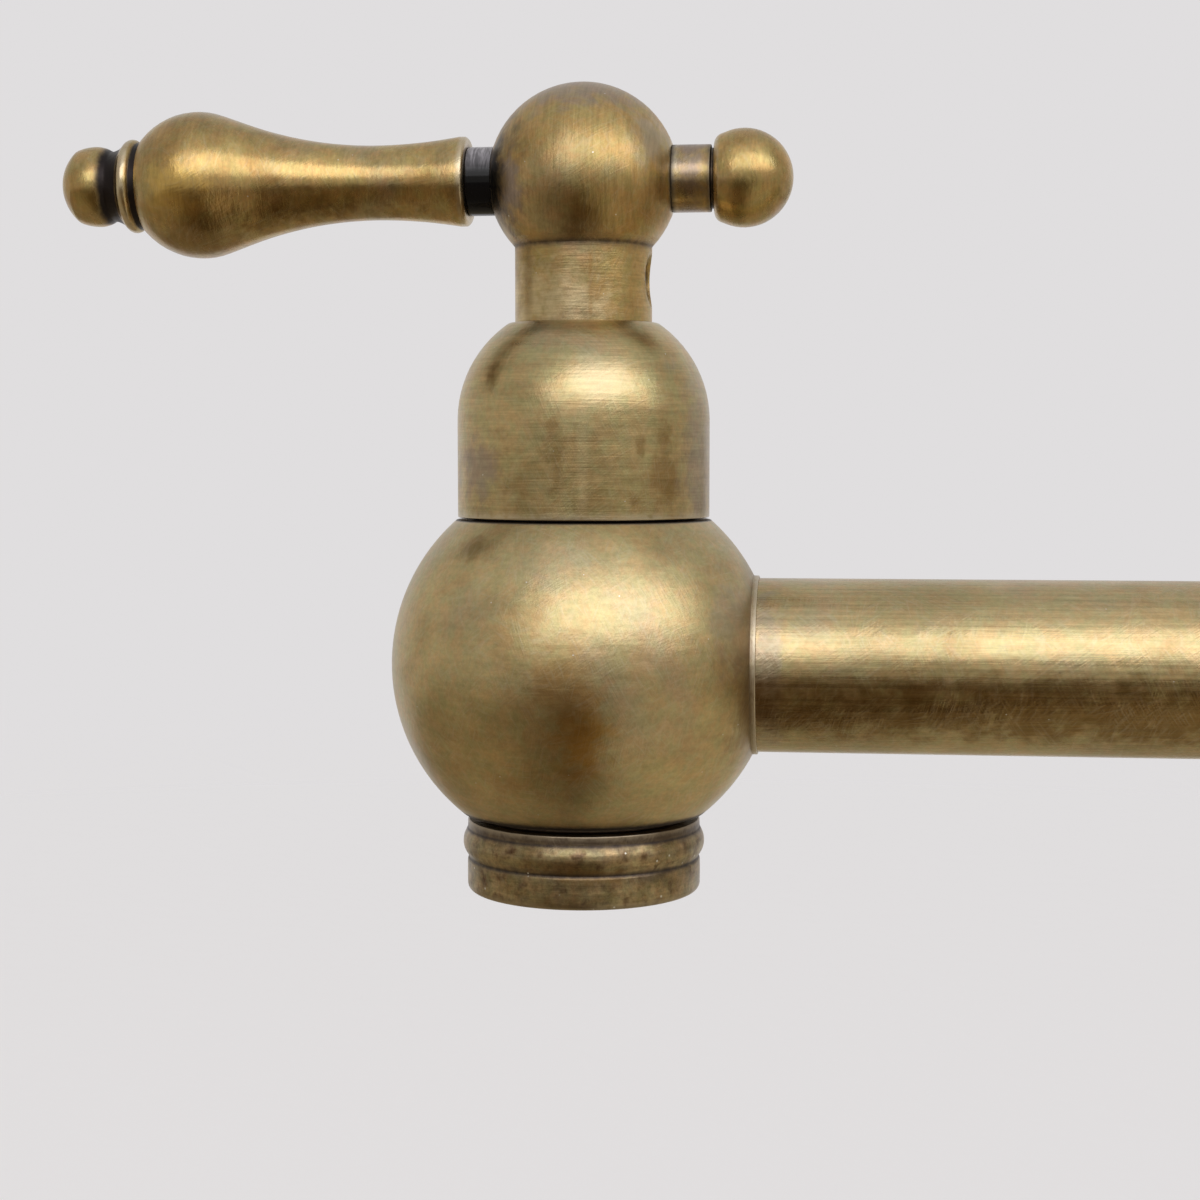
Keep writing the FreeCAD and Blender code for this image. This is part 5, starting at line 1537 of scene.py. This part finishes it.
# ---------------------------------------------------------------- the studio
@dataclass
class Studio:
    """Plain studio light, a pale floor, and the camera at the photograph's angle."""

    target: Vector = field(default_factory=lambda: Vector((-0.24, -0.345, 0.0)))
    distance: float = 0.2428        # m, from the outlet's axis
    height: float = 0.025           # m, above the arm's axis
    azimuth: float = 7.0            # degrees, from straight in front
    pitch: float = 4.17             # degrees, down
    aside: float = 0.443            # degrees, to the right
    lens: float = 63.0              # mm
    sensor: float = 36.0            # mm
    backdrop: Colour = (0.745, 0.73, 0.737)
    floor: float = -0.3             # m

    def build(self) -> None:
        """Build the camera, the world, the lamps and the floor."""
        self.camera()
        self.world()
        self.lamp("wide_softbox", azimuth=24, elevation=36, distance=0.6, size=(1.26, 0.36),
                  watts=2.25)
        self.ground()
        self.table()
        LOG.info("studio: camera, world, softbox, floor and table")

    def around(self, azimuth: float, elevation: float, distance: float) -> Vector:
        """A place round the outlet, in m."""
        a, e = math.radians(azimuth), math.radians(elevation)
        way = Vector((math.sin(a) * math.cos(e), -math.cos(a) * math.cos(e), math.sin(e)))
        return self.target + way * distance

    def camera(self) -> None:
        """The camera at the photograph's place."""
        lens = bpy.data.cameras.new("photograph_camera")
        lens.lens, lens.sensor_width = self.lens, self.sensor
        lens.clip_start, lens.clip_end = 0.01, 20.0
        lens.dof.use_dof = False
        camera = bpy.data.objects.new("photograph_camera", lens)
        level = self.around(self.azimuth, 0, self.distance)
        camera.location = level + UP * self.height
        turn = math.radians(self.azimuth - self.aside)
        camera.rotation_euler = (math.radians(90 - self.pitch), 0, turn)
        bpy.context.scene.collection.objects.link(camera)
        bpy.context.scene.camera = camera

    def world(self) -> None:
        """A pale backdrop for the camera, and a soft room for the metal."""
        world = bpy.data.worlds.new("studio")
        world.use_nodes = True
        bpy.context.scene.world = world
        world.node_tree.nodes.clear()
        g = Graph(world.node_tree)
        way = g.add("ShaderNodeTexCoord").outputs["Generated"]
        parts = g.add("ShaderNodeSeparateXYZ")
        g.feed(parts.inputs[0], way)
        behind = g.step(parts.outputs[1], 0.4, 0.85)
        room = g.mix(behind, (0.54, 0.505, 0.44), self.backdrop)
        above = g.step(parts.outputs[2], 0.3, 0.95)
        room = g.mix(above, room, (0.66, 0.65, 0.64))
        glow = g.vector("DOT_PRODUCT", way, (0.261, -0.587, 0.766))
        room = g.mix(g.step(glow, 0.7, 0.97), room, (0.93, 0.92, 0.9))
        seen = g.mix(g.add("ShaderNodeLightPath").outputs["Is Camera Ray"], room, self.backdrop)
        light = g.add("ShaderNodeBackground")
        g.feed(light.inputs["Color"], seen)
        g.feed(g.add("ShaderNodeOutputWorld").inputs["Surface"], light.outputs[0])

    def lamp(self, name: str, azimuth: float, elevation: float, distance: float,
             size: tuple[float, float], watts: float) -> None:
        """A soft rectangular lamp.

        Args:
            name: its name.
            azimuth: where it stands round the outlet, in degrees from straight in front.
            elevation: how high it stands, in degrees.
            distance: how far away it stands, in m.
            size: its width and height, in m.
            watts: its power.
        """
        light = bpy.data.lights.new(name, "AREA")
        light.shape, light.size, light.size_y, light.energy = "RECTANGLE", *size, watts
        light.color = (0.97, 0.97, 1.0)
        lamp = bpy.data.objects.new(name, light)
        lamp.location = self.around(azimuth, elevation, distance)
        lamp.rotation_euler = (self.target - lamp.location).to_track_quat("-Z", "Y").to_euler()
        lamp.visible_camera = False
        bpy.context.scene.collection.objects.link(lamp)

    def disc(self, name: str, corners: Sequence[tuple[float, float]],
             height: float) -> bpy.types.Object:
        """A flat stage piece, as an object."""
        mesh = bpy.data.meshes.new(name)
        mesh.from_pydata([(x, y, height) for x, y in corners], [], [list(range(len(corners)))])
        piece = bpy.data.objects.new(name, mesh)
        bpy.context.scene.collection.objects.link(piece)
        return piece

    def ground(self) -> None:
        """A pale floor that fades out into the backdrop."""
        rim = [(self.target.x + 2.8 * math.cos(a), self.target.y + 2.8 * math.sin(a))
               for a in np.linspace(0, 2 * math.pi, 96, endpoint=False)]
        floor = self.disc("floor", rim, self.floor)
        s = Surface("pale_floor")
        place = s.place_from(self.target)
        flat = s.vector("MULTIPLY", place, (1, 1, 0))
        s.shade((0.49, 0.485, 0.5), 0.8, s.noise(place, 30.0))
        s.feed(s.shader.inputs["Alpha"], s.step(s.vector("LENGTH", flat), 0.7, 2.6, 1.0, 0.0))
        rays = s.add("ShaderNodeLightPath").outputs
        seen = s.math("ADD", rays["Is Camera Ray"], rays["Is Glossy Ray"])
        seen = s.math("ADD", seen, rays["Is Transmission Ray"], clamp=True)
        s.feed(s.shader.inputs["Emission Color"], tuple(c * 0.5 for c in self.backdrop))
        s.feed(s.shader.inputs["Emission Strength"], seen)
        floor.data.materials.append(s.material)

    def table(self) -> None:
        """A dim table top under the tap, which only the metal sees, darkest straight in front."""
        x, y = self.target.x, self.target.y
        corners = [(x - 1.3, y + 0.4), (x - 1.3, y - 1.7), (x + 1.3, y - 1.7), (x + 1.3, y + 0.4)]
        table = self.disc("table_top", corners, self.floor + 0.08)
        s = Surface("dim_table")
        place = s.place_from(self.target)
        parts = s.add("ShaderNodeSeparateXYZ")
        s.feed(parts.inputs[0], place)
        way = s.math("ARCTAN2", parts.outputs[0], s.math("MULTIPLY", parts.outputs[1], -1.0))
        right = s.step(way, 0.25, 0.6)
        left = s.step(way, -1.3, -0.15, 1.0, 0.0)
        colour = s.mix(left, (0.12, 0.072, 0.02), (0.44, 0.37, 0.25))
        colour = s.mix(right, colour, (0.6, 0.54, 0.41))
        away = s.vector("LENGTH", s.vector("MULTIPLY", place, (1, 1, 0)))
        colour = s.times(colour, s.step(away, 0.03, 0.25, 0.75, 1.0))
        s.shade(colour, 0.9, s.noise(place, 5.0))
        table.data.materials.append(s.material)
        table.visible_camera = table.visible_shadow = table.visible_diffuse = False


def main() -> None:
    """Build every piece round the frame, and the studio."""
    scene = bpy.context.scene
    scene.view_settings.view_transform = "Standard"
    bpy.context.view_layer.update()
    finishes = Finishes()
    hub = Valve("outlet", finishes).hub_form()
    for prefix in ("wall", "outlet"):
        Valve(prefix, finishes).build(hub)
    bpy.data.objects.remove(hub)
    Ball(finishes).build()
    Swivels(finishes).build()
    Arms(finishes).build()
    Outlet(finishes).build()
    WallEnd(finishes).build()
    finishes.dress_inner()
    Studio().build()


if __name__ == "__main__":
    logging.basicConfig(level=logging.INFO, format="%(message)s")
    main()
